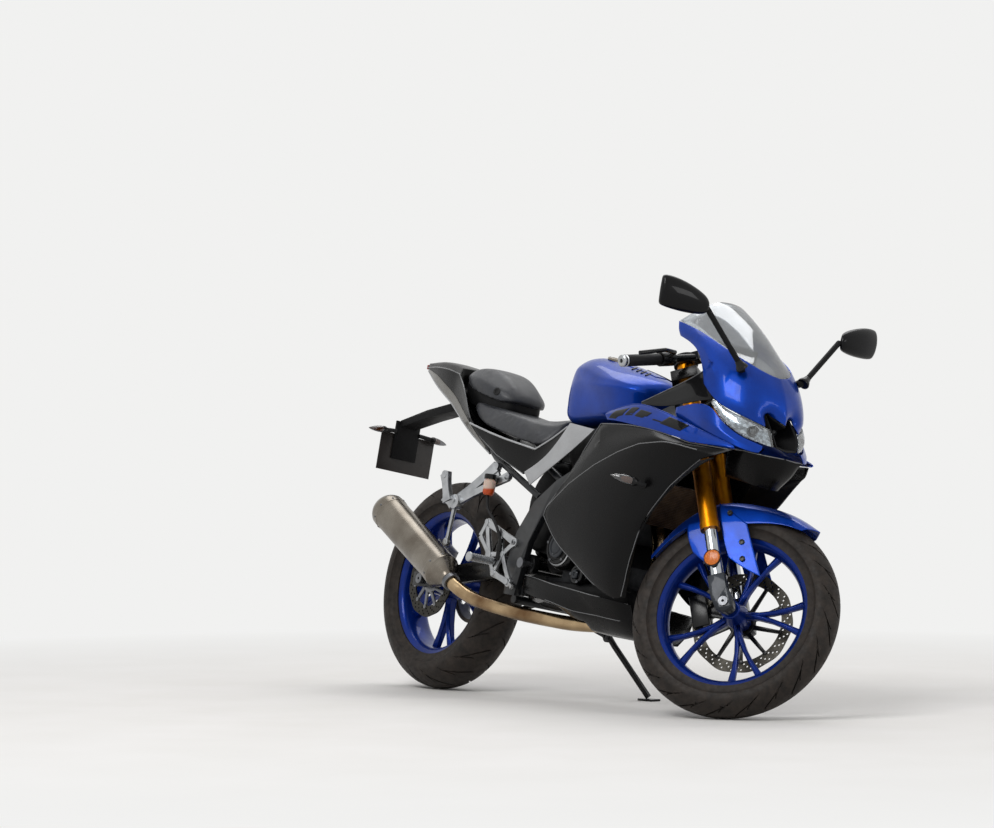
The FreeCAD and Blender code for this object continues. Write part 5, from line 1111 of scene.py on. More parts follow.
# %% Tank
TANK_SECTIONS = (
    # top middle, top, top edge, shoulder crest, knee hollow, lower edge, underside
    ((546, 0, 1002), (542, 46, 994), (534, 78, 966), (527, 85, 905),
     (520, 82, 845), (517, 76, 802), (517, 0, 797)),
    ((598, 0, 1013), (600, 58, 1003), (604, 96, 966), (604, 103, 918),
     (598, 90, 862), (594, 82, 802), (594, 0, 794)),
    ((652, 0, 1007), (654, 66, 995), (656, 106, 952), (660, 114, 916),
     (652, 94, 866), (646, 88, 804), (646, 0, 794)),
    ((714, 0, 994), (714, 74, 980), (714, 116, 934), (718, 124, 907),
     (708, 99, 866), (702, 94, 806), (702, 0, 794)),
    ((810, 0, 972), (812, 78, 958), (814, 120, 922), (816, 131, 903),
     (808, 110, 868), (805, 104, 812), (805, 0, 799)),
    ((880, 0, 949), (880, 68, 938), (882, 106, 912), (884, 114, 898),
     (876, 100, 868), (872, 90, 828), (872, 0, 821)),
    ((916, 0, 930), (916, 44, 922), (916, 64, 905), (915, 66, 892),
     (912, 62, 866), (910, 56, 843), (910, 0, 839)),
)


def lofted(name, rings, creased, sharpness, levels, crisp, fan=True):
    """A subdivided solid through closed rings of scene points; its ends are fans or single faces."""
    around = len(rings[0])
    unselect()
    bpy.ops.mesh.primitive_cylinder_add(vertices=around, radius=0.1, depth=0.1, end_fill_type="NOTHING")
    solid = named(name)
    shape = bmesh.new()
    rows = [[shape.verts.new(point) for point in ring] for ring in rings]
    for first, second in zip(rows, rows[1:]):
        for index in range(around):
            beside = (index + 1) % around
            shape.faces.new((first[index], first[beside], second[beside], second[index]))
    for row in (rows[0], rows[-1]):
        if fan:
            centre = shape.verts.new(sum((corner.co for corner in row), Vector()) / around)
            for index in range(around):
                shape.faces.new((row[index], row[(index + 1) % around], centre))
        else:
            shape.faces.new(row)
    crease = shape.edges.layers.float.new("crease_edge")
    for first, second in zip(rows, rows[1:]):
        for index in creased:
            shape.edges.get((first[index], second[index]))[crease] = sharpness
    bmesh.ops.recalc_face_normals(shape, faces=shape.faces)
    shape.to_mesh(solid.data)
    shape.free()
    divided(solid, levels)
    apply_all(solid)
    return smooth(solid, crisp)


def closed_loft(name, sections, crest, sharpness, levels=2):
    """A closed solid through mirrored half sections of the upright drawing."""
    rings = []
    for section in sections:
        other_half = [(x, -y, z) for x, y, z in reversed(section[1:-1])]
        rings.append([standing(*entry) for entry in (*section, *other_half)])
    around = len(rings[0])
    return lofted(name, rings, {*crest, *(around - column for column in crest)}, sharpness, levels, 40)


tank = closed_loft("pressed_steel_tank", TANK_SECTIONS, (2, 3), 0.45, levels=3)
fit(tank, "chassis", BLUE_LACQUER, "fuel_tank")

# %% [markdown]
# ## Seats
# Both seats are moulded foam under a vinyl cover that is pulled tight over the base. Each starts as a
# closed loft a little smaller than the seat. A few frames of cloth with pressure inside blow the cover
# up between its edges, and a cap on how far a corner may move keeps it inside the seat's own space.

# %% Seat helper
VOXEL = 0.005
PRESSURE = 4.0
CLOTH_FRAMES = 20


def swollen(pad, cap):
    """Blows a closed pad up with cloth, moves no corner further than the cap, and smooths it."""
    only(pad)
    remesh = pad.modifiers.new("remesh", "REMESH")
    remesh.mode = "VOXEL"
    remesh.voxel_size = VOXEL
    apply_all(pad)
    before = [corner.co.copy() for corner in pad.data.vertices]
    cover = pad.modifiers.new("cover", "CLOTH")
    cover.settings.quality = 5
    cover.settings.use_pressure = True
    cover.settings.uniform_pressure_force = PRESSURE
    cover.settings.effector_weights.gravity = 0
    for number in range(1, CLOTH_FRAMES + 1):
        bpy.context.scene.frame_set(number)
    apply_all(pad)
    bpy.context.scene.frame_set(1)
    for corner, start in zip(pad.data.vertices, before):
        move = corner.co - start
        if move.length > cap:
            corner.co = start + move.normalized() * cap
    relax = pad.modifiers.new("relax", "SMOOTH")
    relax.iterations = 3
    apply_all(pad)
    divided(pad, 1)
    apply_all(pad)
    smooth(pad, 60)
    print(pad.name, len(pad.data.polygons), "faces")


# %% Rider's seat
RIDER_SECTIONS = (
    # top middle, top, crest, side, lower edge, underside
    ((60, 0, 884), (61, 50, 883), (64, 86, 874), (68, 93, 858), (70, 92, 850), (70, 0, 850)),
    ((152, 0, 856), (152, 60, 856), (154, 96, 846), (156, 108, 818), (156, 108, 792), (156, 0, 792)),
    ((240, 0, 832), (240, 62, 835), (239, 98, 832), (240, 116, 802), (240, 118, 774), (240, 0, 774)),
    ((330, 0, 814), (330, 60, 818), (330, 96, 816), (332, 117, 782), (332, 120, 753), (332, 0, 753)),
    ((412, 0, 808), (412, 54, 812), (409, 88, 802), (412, 114, 762), (412, 117, 736), (412, 0, 736)),
    ((474, 0, 816), (472, 46, 812), (468, 76, 793), (472, 102, 750), (472, 108, 728), (472, 0, 728)),
    ((514, 0, 836), (509, 40, 826), (504, 64, 802), (504, 82, 772), (502, 86, 750), (502, 0, 750)),
)
rider_pad = closed_loft("rider_seat_cover", RIDER_SECTIONS, (2, 4), 0.7)
swollen(rider_pad, 0.003)
fit(rider_pad, "chassis", SEAT_VINYL, "rider_seat")

# %% Passenger's seat
PILLION_SECTIONS = (
    # top middle, edge of the top facet, side crest, lower edge, underside
    ((-34, 0, 964), (-30, 46, 960), (-26, 66, 948), (-22, 66, 936), (-22, 0, 932)),
    ((41, 0, 976), (41, 52, 973), (50, 92, 938), (58, 95, 894), (58, 0, 892)),
    ((120, 0, 970), (120, 50, 966), (126, 94, 918), (132, 95, 878), (132, 0, 876)),
    ((182, 0, 944), (184, 48, 940), (188, 88, 896), (192, 89, 864), (192, 0, 862)),
    ((245, 0, 888), (242, 46, 883), (240, 64, 874), (238, 66, 862), (238, 0, 858)),
)
pillion_pad = closed_loft("pillion_seat_cover", PILLION_SECTIONS, (1, 2, 3), 0.95)
swollen(pillion_pad, 0.002)
fit(pillion_pad, "chassis", SEAT_VINYL, "pillion_seat")

# %% [markdown]
# ## Tubes and beads
# A tube starts as a NURBS path through its bend points and is made a mesh. The same helper draws the
# beads along panel seams: their points are first set down on the nearest spot of the panel.

# %% Tube helpers


def tube_along(name, points, radius, steps):
    """A mesh tube through scene points, with closed ends; more steps make it rounder."""
    unselect()
    bpy.ops.curve.primitive_nurbs_path_add(radius=0.1)
    path = named(name)
    path.data.splines.clear()
    spline = path.data.splines.new("NURBS")
    spline.points.add(len(points) - 1)
    for handle, point in zip(spline.points, points):
        handle.co = (point[0], point[1], point[2], 1)
    spline.order_u = 3
    spline.use_endpoint_u = True
    spline.resolution_u = 10
    path.data.bevel_depth = radius
    path.data.bevel_resolution = steps
    path.data.use_fill_caps = True
    bpy.ops.object.convert(target="MESH")
    return outward(named(name))


def tube_part(name, points, radius, steps, material):
    """A finished tube on the frame."""
    tube = tube_along(name, points, radius, steps)
    smooth(tube, 60)
    fit(tube, "chassis", material)


def on_panel(panel, points, lift=0.0):
    """Points moved to the nearest spot of a panel."""
    landed = []
    for point in points:
        found, spot, normal, _ = panel.closest_point_on_mesh(point)
        landed.append(spot + normal * lift if found else point)
    return landed


def between_points(points, pieces=8):
    """Extra points on a line of straight runs, so that a bead follows its panel."""
    filled = []
    for start, end in zip(points, points[1:]):
        filled += [start.lerp(end, step / pieces) for step in range(pieces)]
    return filled + [points[-1]]


# %% [markdown]
# The exhaust pipe is one bent stainless tube with a clamp at the muffler. The muffler is a brushed
# sleeve with a rolled band at each end, a dished end cap and a tapered nose. It is turned in one piece.

# %% Muffler
MUFFLER_PROFILE = (
    # radius, distance behind the front of the sleeve
    (21.5, -46), (24.5, -46), (25.5, -40), (30, -33), (46, -10), (51.5, -3), (54.6, 0), (55, 4), (54.6, 17),
    (54, 18), (53.6, 20), (53.6, 322), (54, 324), (55, 325), (55, 340), (54.4, 350), (51, 358), (46, 366),
    (43, 368), (40, 366), (37.5, 358), (37, 330), (20, 326), (19.5, 336), (17.5, 336), (17, 300), (1, 300),
    (1, 0), (17, -20),
)
ALONG_MUFFLER = aimed(MUFFLER_AXIS)
MUFFLER_PLACE = STANDING @ Matrix.Translation(MUFFLER_FRONT) @ ALONG_MUFFLER
muffler = turned_part("muffler_shell", [(radius, -back) for radius, back in MUFFLER_PROFILE], 72,
                      MUFFLER_PLACE, 28, "chassis", BRUSHED_STAINLESS, "muffler")
print("muffler", len(muffler.data.polygons), "faces")

# %% Bolt helpers


def bolt_head(size, height):
    """A low domed cap with a hexagon socket, along +Y from the origin, in millimetres."""
    profile = [(size * 0.42, height * 0.35), (size * 0.5, height * 0.9), (size * 0.85, height),
               (size, height * 0.75), (size, 0), (0.2, 0), (0.2, height * 0.35)]
    return turned_ring(profile, 18, "bolt_head")


def bolts(name, places, size, height, material, body="chassis"):
    """Bolt heads at (point, outward direction) in the scene, joined as one piece."""
    heads = []
    for point, direction in places:
        head = bolt_head(size, height)
        head.data.transform(Matrix.Translation(point) @ aimed(direction))
        heads.append(head)
    group = joined(heads, name)
    smooth(group, 35)
    fit(group, body, material)


# %% Rivets, pipe and clamp
RIVET_ROWS = (11, 333)
RIVETS_IN_A_ROW = 8
SLEEVE_RADIUS = 0.0546
rivets = []
for back in RIVET_ROWS:
    for number in range(RIVETS_IN_A_ROW):
        turn = math.tau * (number + 0.5) / RIVETS_IN_A_ROW
        out = Vector((math.cos(turn), 0, math.sin(turn)))
        spot = MUFFLER_PLACE @ (out * SLEEVE_RADIUS - Vector((0, back / 1000, 0)))
        rivets.append((spot, MUFFLER_PLACE.to_3x3() @ out))
bolts("muffler_rivets", rivets, 3.2, 1.8, ZINC_STEEL)
PIPE_RADIUS = 0.0205
PIPE_START = MUFFLER_FRONT + MUFFLER_AXIS * 0.0463
PIPE_NEXT = PIPE_START + MUFFLER_AXIS * 0.03
PIPE_ROUTE = (
    (300, -156, 272), (355, -147, 257), (410, -137, 248), (515, -111, 235), (613, -90, 228), (723, -60, 222),
    (850, -20, 232), (920, -3, 252), (962, 0, 290), (980, 0, 360), (982, 0, 480), (938, 0, 556),
)
pipe_line = [STANDING @ PIPE_START, STANDING @ PIPE_NEXT] + [standing(*point) for point in PIPE_ROUTE]
pipe = tube_along("exhaust_pipe_bent", pipe_line, PIPE_RADIUS, 10)
smooth(pipe, 50)
fit(pipe, "chassis", TINTED_STAINLESS, "exhaust_pipe")
CLAMP_PROFILE = ((21, 3), (26.5, 3), (27.2, 4), (27.2, 17), (26.5, 18), (21, 18))
turned_part("pipe_clamp", CLAMP_PROFILE, 40, STANDING @ Matrix.Translation(PIPE_START) @ ALONG_MUFFLER, 30,
            "chassis", ZINC_STEEL)
print("pipe", len(pipe.data.polygons), "faces")

# %% [markdown]
# ## Footrests
# The rider's plates are forged aluminium lattices, and the pedals and the passenger's hangers are made
# the same way. Each is drawn as struts between bosses: a strut is a bar that is waisted in the middle
# and bevelled, and the bosses are turned with a socket in each.

# %% Lattice helpers
WAIST = 0.75


def strut(start, end, wide, thick):
    """A waisted flat bar between two points (x, y, z) of the upright drawing, flat across Y."""
    first, last = Vector(start) / 1000, Vector(end) / 1000
    bar = block("strut", 2)
    along = last - first
    across = along.cross(Vector((0, 1, 0))).normalized()
    for corner in bar.data.vertices:
        share = corner.co.x + 0.5
        narrow = WAIST if 0.1 < share < 0.9 else 1.0
        corner.co = (first + along * share + across * corner.co.z * wide / 1000 * narrow
                     + Vector((0, 1, 0)) * corner.co.y * thick / 1000)
    return bar


def lattice(name, struts, bosses, edge=0.0015, replaced=()):
    """Struts (start, end, width, thickness) and bosses (middle, radius, half length) as one casting."""
    parts = [strut(*entry) for entry in struts]
    for middle, radius, half in bosses:
        profile = [(0.3, half), (radius * 0.5, half), (radius * 0.55, half - 2), (radius * 0.8, half - 2),
                   (radius, half - 1), (radius, -half), (0.3, -half)]
        ring = turned_ring(profile, 28, "boss")
        ring.data.transform(moved(*middle))
        parts.append(ring)
    casting = joined(parts, name)
    casting.data.transform(STANDING)
    bevelled(outward(casting), edge, 40)
    smooth(casting, 34)
    fit(casting, "chassis", CAST_ALUMINIUM, *replaced)
    print(name, len(casting.data.polygons), "faces")


# %% Rider's footrest plates, pegs and pedals
PLATE_FACE = 134.8
PLATE_THICK = 9
PLATE_PAIRS = (
    # two spots of the plate, width of the strut between them
    ("top", "upper", 24), ("top", "back", 22), ("back", "middle", 18), ("middle", "upper", 20),
    ("middle", "lower", 20), ("low", "lower", 24), ("low", "back", 20), ("rear", "top", 18),
    ("rear", "back", 18), ("mid_top", "middle", 16), ("low", "middle", 16),
)
PLATE_BOSSES = (
    # spot, radius, half length
    ("upper", 13, 7), ("lower", 13, 7), ("back", 14, 7), ("top", 9, 6), ("middle", 10, 6), ("low", 10, 6),
)
RIB_STEP = 7.4
peg_profile = [(9.5, -4)]
for number in range(11):
    out = number * RIB_STEP
    peg_profile += [(9.5, 8 + out), (12, 9 + out), (12, 12.4 + out), (9.5, 13.4 + out)]
peg_profile += [(9.5, 90), (14, 91), (15, 93), (14, 96), (0.5, 96.5), (0.5, -4)]
for side, word in SIDES:
    face = side * PLATE_FACE
    spots = {
        "top": (318, face, 494), "back": (352, face, 398), "middle": (418, face, 402),
        "upper": (472, face, 438), "lower": (472, face, 320), "low": (386, face, 345),
        "rear": (300, side * 139, 452), "mid_top": (392, face, 470),
    }
    struts = [(spots[first], spots[second], wide, PLATE_THICK) for first, second, wide in PLATE_PAIRS]
    bosses = [(spots[spot], radius, half) for spot, radius, half in PLATE_BOSSES]
    lattice(f"footrest_lattice_{word}", struts, bosses, replaced=("footrest_plates",) if side < 0 else ())
    outwards = Matrix.Rotation(math.pi if side < 0 else 0, 4, "Z")
    turned_part(f"rider_peg_{word}", peg_profile, 28, STANDING @ moved(384, side * 134.5, 378) @ outwards, 32,
                "chassis", CAST_ALUMINIUM)
    knee = (508, side * 148, 306)
    pedal = [((472, side * 141, 322), knee, 13, 8), (knee, (508, side * 186, 306), 11, 11)]
    lattice(f"pedal_{word}", pedal, [((472, side * 142, 322), 9, 6)], edge=0.002)

# %% Passenger's hangers
for side, word in SIDES:
    hub = (172, side * 156, 546)
    front, back = (372, side * 126, 632), (300, side * 120, 662)
    struts = [
        # start, end, width, thickness
        (back, hub, 38, 14),
        (front, hub, 27, 12),
        ((322, side * 124, 640), (262, side * 137, 590), 14, 8),
        ((150, side * 172, 544), (118, side * 174, 628), 38, 16),
        ((166, side * 160, 538), (138, side * 176, 560), 38, 14),
    ]
    bosses = [(hub, 22, 12), ((300, side * 119, 662), 12, 9), (front, 11, 8), ((120, side * 174, 624), 12, 9)]
    if side < 0:
        muffler_eye = (166, side * 165, 424)
        struts.append(((168, side * 157, 540), muffler_eye, 15, 9))
        bosses.append((muffler_eye, 12, 7))
    lattice(f"passenger_hanger_{word}", struts, bosses, 0.003, ("passenger_footrests",) if side < 0 else ())

# %% [markdown]
# The rear brake's reservoir is a small translucent bottle with a black screw cap, and a hose runs from
# its foot to the pump behind the footrest plate. The amber fluid shows up to its level.

# %% Bottle material
FLUID_LEVEL = 609
LEVEL_BLUR = 3


def filled_polypropylene():
    """Milky polypropylene that shows the amber fluid below its level, in the scene's millimetres."""
    material, tree, place = new_finish("fluid_filled_polypropylene")
    height = add(tree, "ShaderNodeSeparateXYZ", None, {0: place}).outputs["Z"]
    blur = {"From Min": FLUID_LEVEL - LEVEL_BLUR, "From Max": FLUID_LEVEL + LEVEL_BLUR}
    empty = add(tree, "ShaderNodeMapRange", blur, {"Value": height}).outputs["Result"]
    shade = add(tree, "ShaderNodeMix", {"data_type": "RGBA", 6: linear("#B4481C"), 7: linear("#C9B2A4")},
                {0: empty})
    shaded(tree, {"Metallic": 0.0, "IOR": 1.49, "Specular IOR Level": 0.3, "Subsurface Weight": 0.2,
                  "Subsurface Scale": 0.004},
           {"Base Color": shade.outputs[2], "Roughness": patches(tree, place, 9, 0.25, 0.35)})
    return material


FILLED_BOTTLE = filled_polypropylene()

# %% Reservoir
BOTTLE = ((0.3, 0), (12, 0), (15, 3), (17.5, 8), (18, 22), (18, 42), (15.5, 45), (15, 48), (0.3, 48))
SCREW_CAP = ((0.3, 47), (18.5, 47), (19, 48), (19, 60), (18, 61.5), (14, 62), (0.3, 61.5))
PUMP = ((0.3, -34), (7, -34), (8, -32), (8, -8), (10.5, -6), (10.5, 12), (8, 14), (8, 30), (0.3, 31))
HOSE_ROUTE = (
    (330, -159, 572), (330, -159, 556), (336, -157, 530), (362, -152, 505), (385, -148, 480),
    (398, -142, 452), (404, -136, 430),
)
HOSE_RADIUS = 0.0045
RIBS = 12
RIB_DEPTH = 0.03
UPRIGHT = Matrix.Rotation(math.pi / 2, 4, "X")
bottle_place = STANDING @ moved(330, -159.3, 570) @ UPRIGHT
turned_part("reservoir_bottle", BOTTLE, 36, bottle_place, 30, "chassis", FILLED_BOTTLE, "rear_reservoir")
cap = turned_ring(SCREW_CAP, 36, "reservoir_cap")
for corner in cap.data.vertices:
    if corner.co.y * 1000 > 47 and math.hypot(corner.co.x, corner.co.z) > 0.017:
        turn = math.atan2(corner.co.z, corner.co.x)
        ease = 1 - RIB_DEPTH * (0.5 + 0.5 * math.cos(RIBS * turn))
        corner.co.x *= ease
        corner.co.z *= ease
cap.data.transform(bottle_place)
smooth(cap, 30)
fit(cap, "chassis", BLACK_ENAMEL)
tube_part("reservoir_hose", [standing(*point) for point in HOSE_ROUTE], HOSE_RADIUS, 5, GRIP_RUBBER)
turned_part("brake_pump", PUMP, 28, STANDING @ moved(404, -139.5, 416) @ UPRIGHT, 30, "chassis", BLACK_ENAMEL)
print("reservoir, hose and pump")

# %% [markdown]
# ## Mirrors and indicators
# Each mirror is a rounded pod that tapers towards its stalk, with glass on the rider's side. The
# indicators are tear drops: a collar, a smoked lens and an amber bulb that shows through it.

# %% Mirror pods
POD_SECTIONS = (
    # distance from the middle, x ahead of the front axle, z, half height, depth
    (238, 10, 1102, 20, 16), (262, 11, 1107, 33, 26), (300, 8, 1113, 43, 32), (342, 0, 1119, 48, 32),
    (376, -11, 1122, 47, 28), (388, -16, 1123, 40, 20),
)
AXLE_X = 1340
GLASS_LEVELS = (0.74, 0, -0.74)
MIRROR_FOOT = ((0.3, -14), (17, -14), (18, -11), (15, -3), (11, 4), (9.5, 12), (0.3, 13))


def pod_ring(side, out, ahead, high, half, deep):
    """Eight points round the pod at one distance from the middle."""
    x = AXLE_X + ahead
    outline = (
        # along the bike, height
        (x + 2, high), (x - 3, high + half * 0.62), (x - deep * 0.5, high + half * 0.96),
        (x - deep, high + half * 0.9), (x - deep, high), (x - deep, high - half * 0.9),
        (x - deep * 0.5, high - half * 0.96), (x - 3, high - half * 0.62),
    )
    return [standing(along, side * out, up) for along, up in outline]


for side, word in SIDES:
    rings = [pod_ring(side, *section) for section in POD_SECTIONS]
    pod = lofted(f"mirror_pod_{word}", rings, (3, 5), 0.7, 3, 45, fan=False)
    fit(pod, "chassis", BLACK_LACQUER, *(("mirror_housings",) if side < 0 else ()))
    glass_rows = [[(AXLE_X + ahead - deep - 0.6, side * out, high + half * level)
                   for out, ahead, high, half, deep in POD_SECTIONS[1:-1]] for level in GLASS_LEVELS]
    glass = grid_sheet(f"mirror_glass_{word}", glass_rows, standing)
    face_away(glass, standing(1400, side * 310, 1110))
    skinned(glass, 0.0012, 2, 0.0004)
    fit(glass, "chassis", HARD_CHROME)
    foot_place = STANDING @ moved(1362, side * 118, 966) @ aimed((-28, side * 120, 132))
    turned_part(f"mirror_foot_{word}", MIRROR_FOOT, 32, foot_place, 40, "chassis", BLACK_ENAMEL)
print(len(SIDES), "mirrors")

# %% Indicators
SMOKED_PLASTIC = clear_polycarbonate("smoked_lens_polycarbonate", "#9A9CA0", 0.03, 0.08)
DROP = ((0.3, 0), (8, 0.5), (11, 5), (12, 14), (11.5, 26), (9.5, 40), (6, 54), (2.5, 63), (0.3, 66))
BULB = ((0.3, 4), (6, 5), (8, 10), (8.4, 20), (7, 30), (3, 36), (0.3, 37))
COLLAR = ((0.3, -9), (8, -9), (11, -4), (12.4, 2), (12.4, 5), (0.3, 5))


def indicator(name, start, end, scale, *replaced):
    """One tear drop from its collar at the start towards the end, points of the upright drawing."""
    place = STANDING @ moved(*start) @ aimed(Vector(end) - Vector(start))
    for outline, part, material, gone in (
            (DROP, "lens", SMOKED_PLASTIC, ()), (BULB, "bulb", AMBER_ACRYLIC, ()),
            (COLLAR, "collar", BLACK_ENAMEL, replaced)):
        profile = [(radius * scale, out * scale) for radius, out in outline]
        turned_part(f"{name}_{part}", profile, 28, place, 50, "chassis", material, *gone)


FRONT_ARM = ((1138, 205, 609), (1134, 222, 611), (1127, 238, 614))
REAR_ARM = ((-384, 44, 775), (-380, 68, 773), (-376, 94, 771))
for side, word in SIDES:
    indicator(f"front_indicator_{word}", (1128, side * 236, 614), (1092, side * 282, 622), 1.05,
              *(("indicators",) if side < 0 else ()))
    indicator(f"rear_indicator_{word}", (-376, side * 92, 771), (-380, side * 150, 766), 0.85)
    for end, route, radius in (("front", FRONT_ARM, 0.008), ("rear", REAR_ARM, 0.0065)):
        line = [standing(x, side * y, z) for x, y, z in route]
        tube_part(f"{end}_indicator_arm_{word}", line, radius, 5, GRIP_RUBBER)
print(2 * len(SIDES), "indicators")

# %% [markdown]
# ## Body panels
# The solids behind the painted panels are a few flat faces each. The real ones are moulded with gentle
# curves between crisp edges, so each copy is turned into quads, its sharp edges are creased, and
# Subdivision Surface rounds what lies between. A narrow bevel on the rims catches the light.

# %% Panel helper
RIM_ANGLE = math.radians(50)
FOLD_ANGLE = math.radians(22)
FOLD_CREASE = 0.35
CORNER_ANGLE = math.radians(30)
PANEL_RIM = 0.0008


def moulded_panel(node, name, material):
    """A smooth painted panel from the flat faces of its node."""
    skin = from_node(node, name)
    bpy.ops.object.mode_set(mode="EDIT")
    bpy.ops.mesh.select_all(action="SELECT")
    bpy.ops.mesh.tris_convert_to_quads(face_threshold=math.radians(40), shape_threshold=math.radians(60))
    bpy.ops.object.mode_set(mode="OBJECT")
    shape = bmesh.new()
    shape.from_mesh(skin.data)
    crease = shape.edges.layers.float.new("crease_edge")
    corner = shape.verts.layers.float.new("crease_vert")
    for edge in shape.edges:
        if len(edge.link_faces) == 2:
            bend = edge.calc_face_angle(0)
            if bend > RIM_ANGLE:
                edge[crease] = 1.0
            elif bend > FOLD_ANGLE:
                edge[crease] = FOLD_CREASE
    for point in shape.verts:
        rims = [edge for edge in point.link_edges if edge[crease] == 1.0]
        if len(rims) == 2:
            turn = (rims[0].other_vert(point).co - point.co).angle(point.co - rims[1].other_vert(point).co, 0)
            if turn > CORNER_ANGLE:
                point[corner] = 1.0
    shape.to_mesh(skin.data)
    shape.free()
    divided(skin, 2)
    bevelled(skin, PANEL_RIM, 50)
    smooth(skin, 34)
    fit(skin, body_of_node[node], material, node)
    print(name, len(skin.data.polygons), "faces")


# %% Painted and moulded panels
PANELS = (
    # node, piece, finish
    ("upper_side_strips", "side_strip_skins", BLUE_LACQUER),
    ("side_fairings", "side_fairing_skins", SATIN_ABS),
    ("belly_pan", "belly_pan_skin", SATIN_ABS),
    ("tail_cowl", "tail_skin", SATIN_ABS),
    ("side_panels", "side_panel_skins", SATIN_ABS),
    ("accent_panels", "accent_skins", SILVER_LACQUER),
    ("cowl_infills", "infill_skins", BLACK_LACQUER),
    ("chin_cowl", "chin_skin", SATIN_ABS),
    ("fairing_liners", "liner_skins", GRAINED_POLYPROPYLENE),
    ("windscreen", "windscreen_pane", SCREEN_PLASTIC),
)
for node, name, material in PANELS:
    moulded_panel(node, name, material)

# %% [markdown]
# ## Trim and small parts
# These pieces are thin, but they draw the lines that the eye follows on the real bike: the blue lip
# under each lamp, light edges on the black panels, reflectors, bolts, the filler cap and the bar ends.

# %% Lip under the lamps
CHEEK_ROWS = (
    ((1160, 158, 838), (1256, 163, 852), (1311, 155, 846), (1354, 146, 803),
     (1402, 118, 769), (1438, 88, 757), (1452, 68, 750)),
    ((1160, 158, 824), (1260, 164, 815), (1320, 162, 800), (1366, 153, 775),
     (1410, 127, 752), (1444, 94, 741), (1456, 73, 739)),
    ((1160, 154, 812), (1260, 156, 778), (1320, 154, 764), (1365, 148, 752),
     (1412, 129, 738), (1444, 98, 728), (1453, 80, 730)),
)
pair_of_panels("lamp_lip", CHEEK_ROWS, BLUE_LACQUER, "chassis", ("cheek_panels",), (1250, 0, 790),
               creased_rows=(1,), sharpness=0.6)

# %% Round reflectors on the fork
REFLECTOR_OUT = 0.122
REFLECTOR_RIM = ((0.3, -6), (22, -6), (24.5, -4), (24.5, 3), (22.8, 4), (22.4, 2), (0.3, 2))
REFLECTOR_FACE = ((0.3, 1), (22, 1), (22, 3), (18, 4.4), (0.3, 5))
for side, word in SIDES:
    spot = FRONT_WHEEL @ Vector((-0.010, side * REFLECTOR_OUT, 0.130))
    place = Matrix.Translation(spot) @ aimed(FRONT_WHEEL.to_3x3() @ Vector((0, side, 0)))
    gone = ("fork_reflectors",) if side < 0 else ()
    turned_part(f"fork_reflector_rim_{word}", REFLECTOR_RIM, 40, place, 30, "steering", BLACK_ENAMEL, *gone)
    turned_part(f"fork_reflector_face_{word}", REFLECTOR_FACE, 40, place, 30, "steering", AMBER_ACRYLIC)

# %% Bolts on the mudguard, the footrest plates and the plate
BLADE_BOLTS = ((1322, 71.5, 484), (1340, 75.5, 436), (1262, 71, 560))
blade_bolts = []
plate_bolts = []
for side, _ in SIDES:
    across = Vector((0, side, 0))
    blade_bolts += [(steered(x, side * y, z), STEERED.to_3x3() @ across) for x, y, z in BLADE_BOLTS]
    plate_bolts += [(standing(472, side * 141, z), STANDING.to_3x3() @ across) for z in (438, 320)]
bolts("mudguard_bolts", blade_bolts, 8, 4, BLACK_ENAMEL, "steering")
bolts("footrest_bolts", plate_bolts, 8, 5, ZINC_STEEL)
back = STANDING.to_3x3() @ Vector((-1, 0, 0))
bolts("plate_bolts", [(standing(-394.4, y, 668), back) for y in (-60, 60)], 6, 3, ZINC_STEEL)

# %% Bar ends
SWEEP = math.radians(32)
DROP_ANGLE = math.radians(15)
BAR_DIRECTION = Vector((-math.sin(SWEEP), math.cos(SWEEP), -math.tan(DROP_ANGLE))).normalized()
BAR_ROOT = Vector((0.028, 0.105, 0.748))
BAR_REACH = 0.335
END_PROFILE = ((0.3, 0), (14, 0), (17, 1), (17.4, 4), (15, 6), (14.6, 9), (16.6, 11), (16.6, 15), (14, 17.5),
               (6, 17.8), (5, 15), (0.3, 15))
bar_end = BAR_ROOT + BAR_DIRECTION * (BAR_REACH - BAR_ROOT.y) / BAR_DIRECTION.y
for side, word in SIDES:
    place = FRONT_WHEEL @ Matrix.Translation((bar_end.x, side * bar_end.y, bar_end.z))
    turn = aimed((BAR_DIRECTION.x, side * BAR_DIRECTION.y, BAR_DIRECTION.z))
    turned_part(f"bar_end_{word}", END_PROFILE, 32, place @ turn, 30, "steering", CAST_ALUMINIUM)

# %% Clutch cover and pump
ENGINE_CAPS = (
    # name, middle of the face on the right side, radius, depth, finish
    ("clutch_rim", (656, -115, 436), 56, 9, CAST_ALUMINIUM),
    ("clutch_cover", (656, -119, 436), 52, 12, BLACK_LACQUER),
    ("clutch_cap", (656, -124, 436), 34, 8, GREY_LACQUER),
    ("pump_cover", (760, -114, 360), 28, 14, BLACK_ENAMEL),
    ("pump_cap", (760, -121, 360), 14, 8, GREY_LACQUER),
)
CLUTCH_BOLTS = (0.4, 1.65, 2.9, 4.15, 5.4)
PUMP_BOLTS = (1.0, 3.1, 5.2)
TO_THE_RIGHT = Matrix.Rotation(math.pi, 4, "Z")
for name, middle, radius, depth, material in ENGINE_CAPS:
    profile = ((0.3, -depth), (radius, -depth), (radius, -2), (radius - 2.5, 0), (radius - 8, 0),
               (radius - 10, -2.5), (radius - 13, -2.5), (radius - 15, -0.5), (0.3, 0.5))
    turned_part(name, profile, 48, STANDING @ moved(*middle) @ TO_THE_RIGHT, 30, "chassis", material)
around = [(656 + 47 * math.cos(turn), -118, 436 + 47 * math.sin(turn)) for turn in CLUTCH_BOLTS]
around += [(760 + 24 * math.cos(turn), -114, 360 + 24 * math.sin(turn)) for turn in PUMP_BOLTS]
right = STANDING.to_3x3() @ Vector((0, -1, 0))
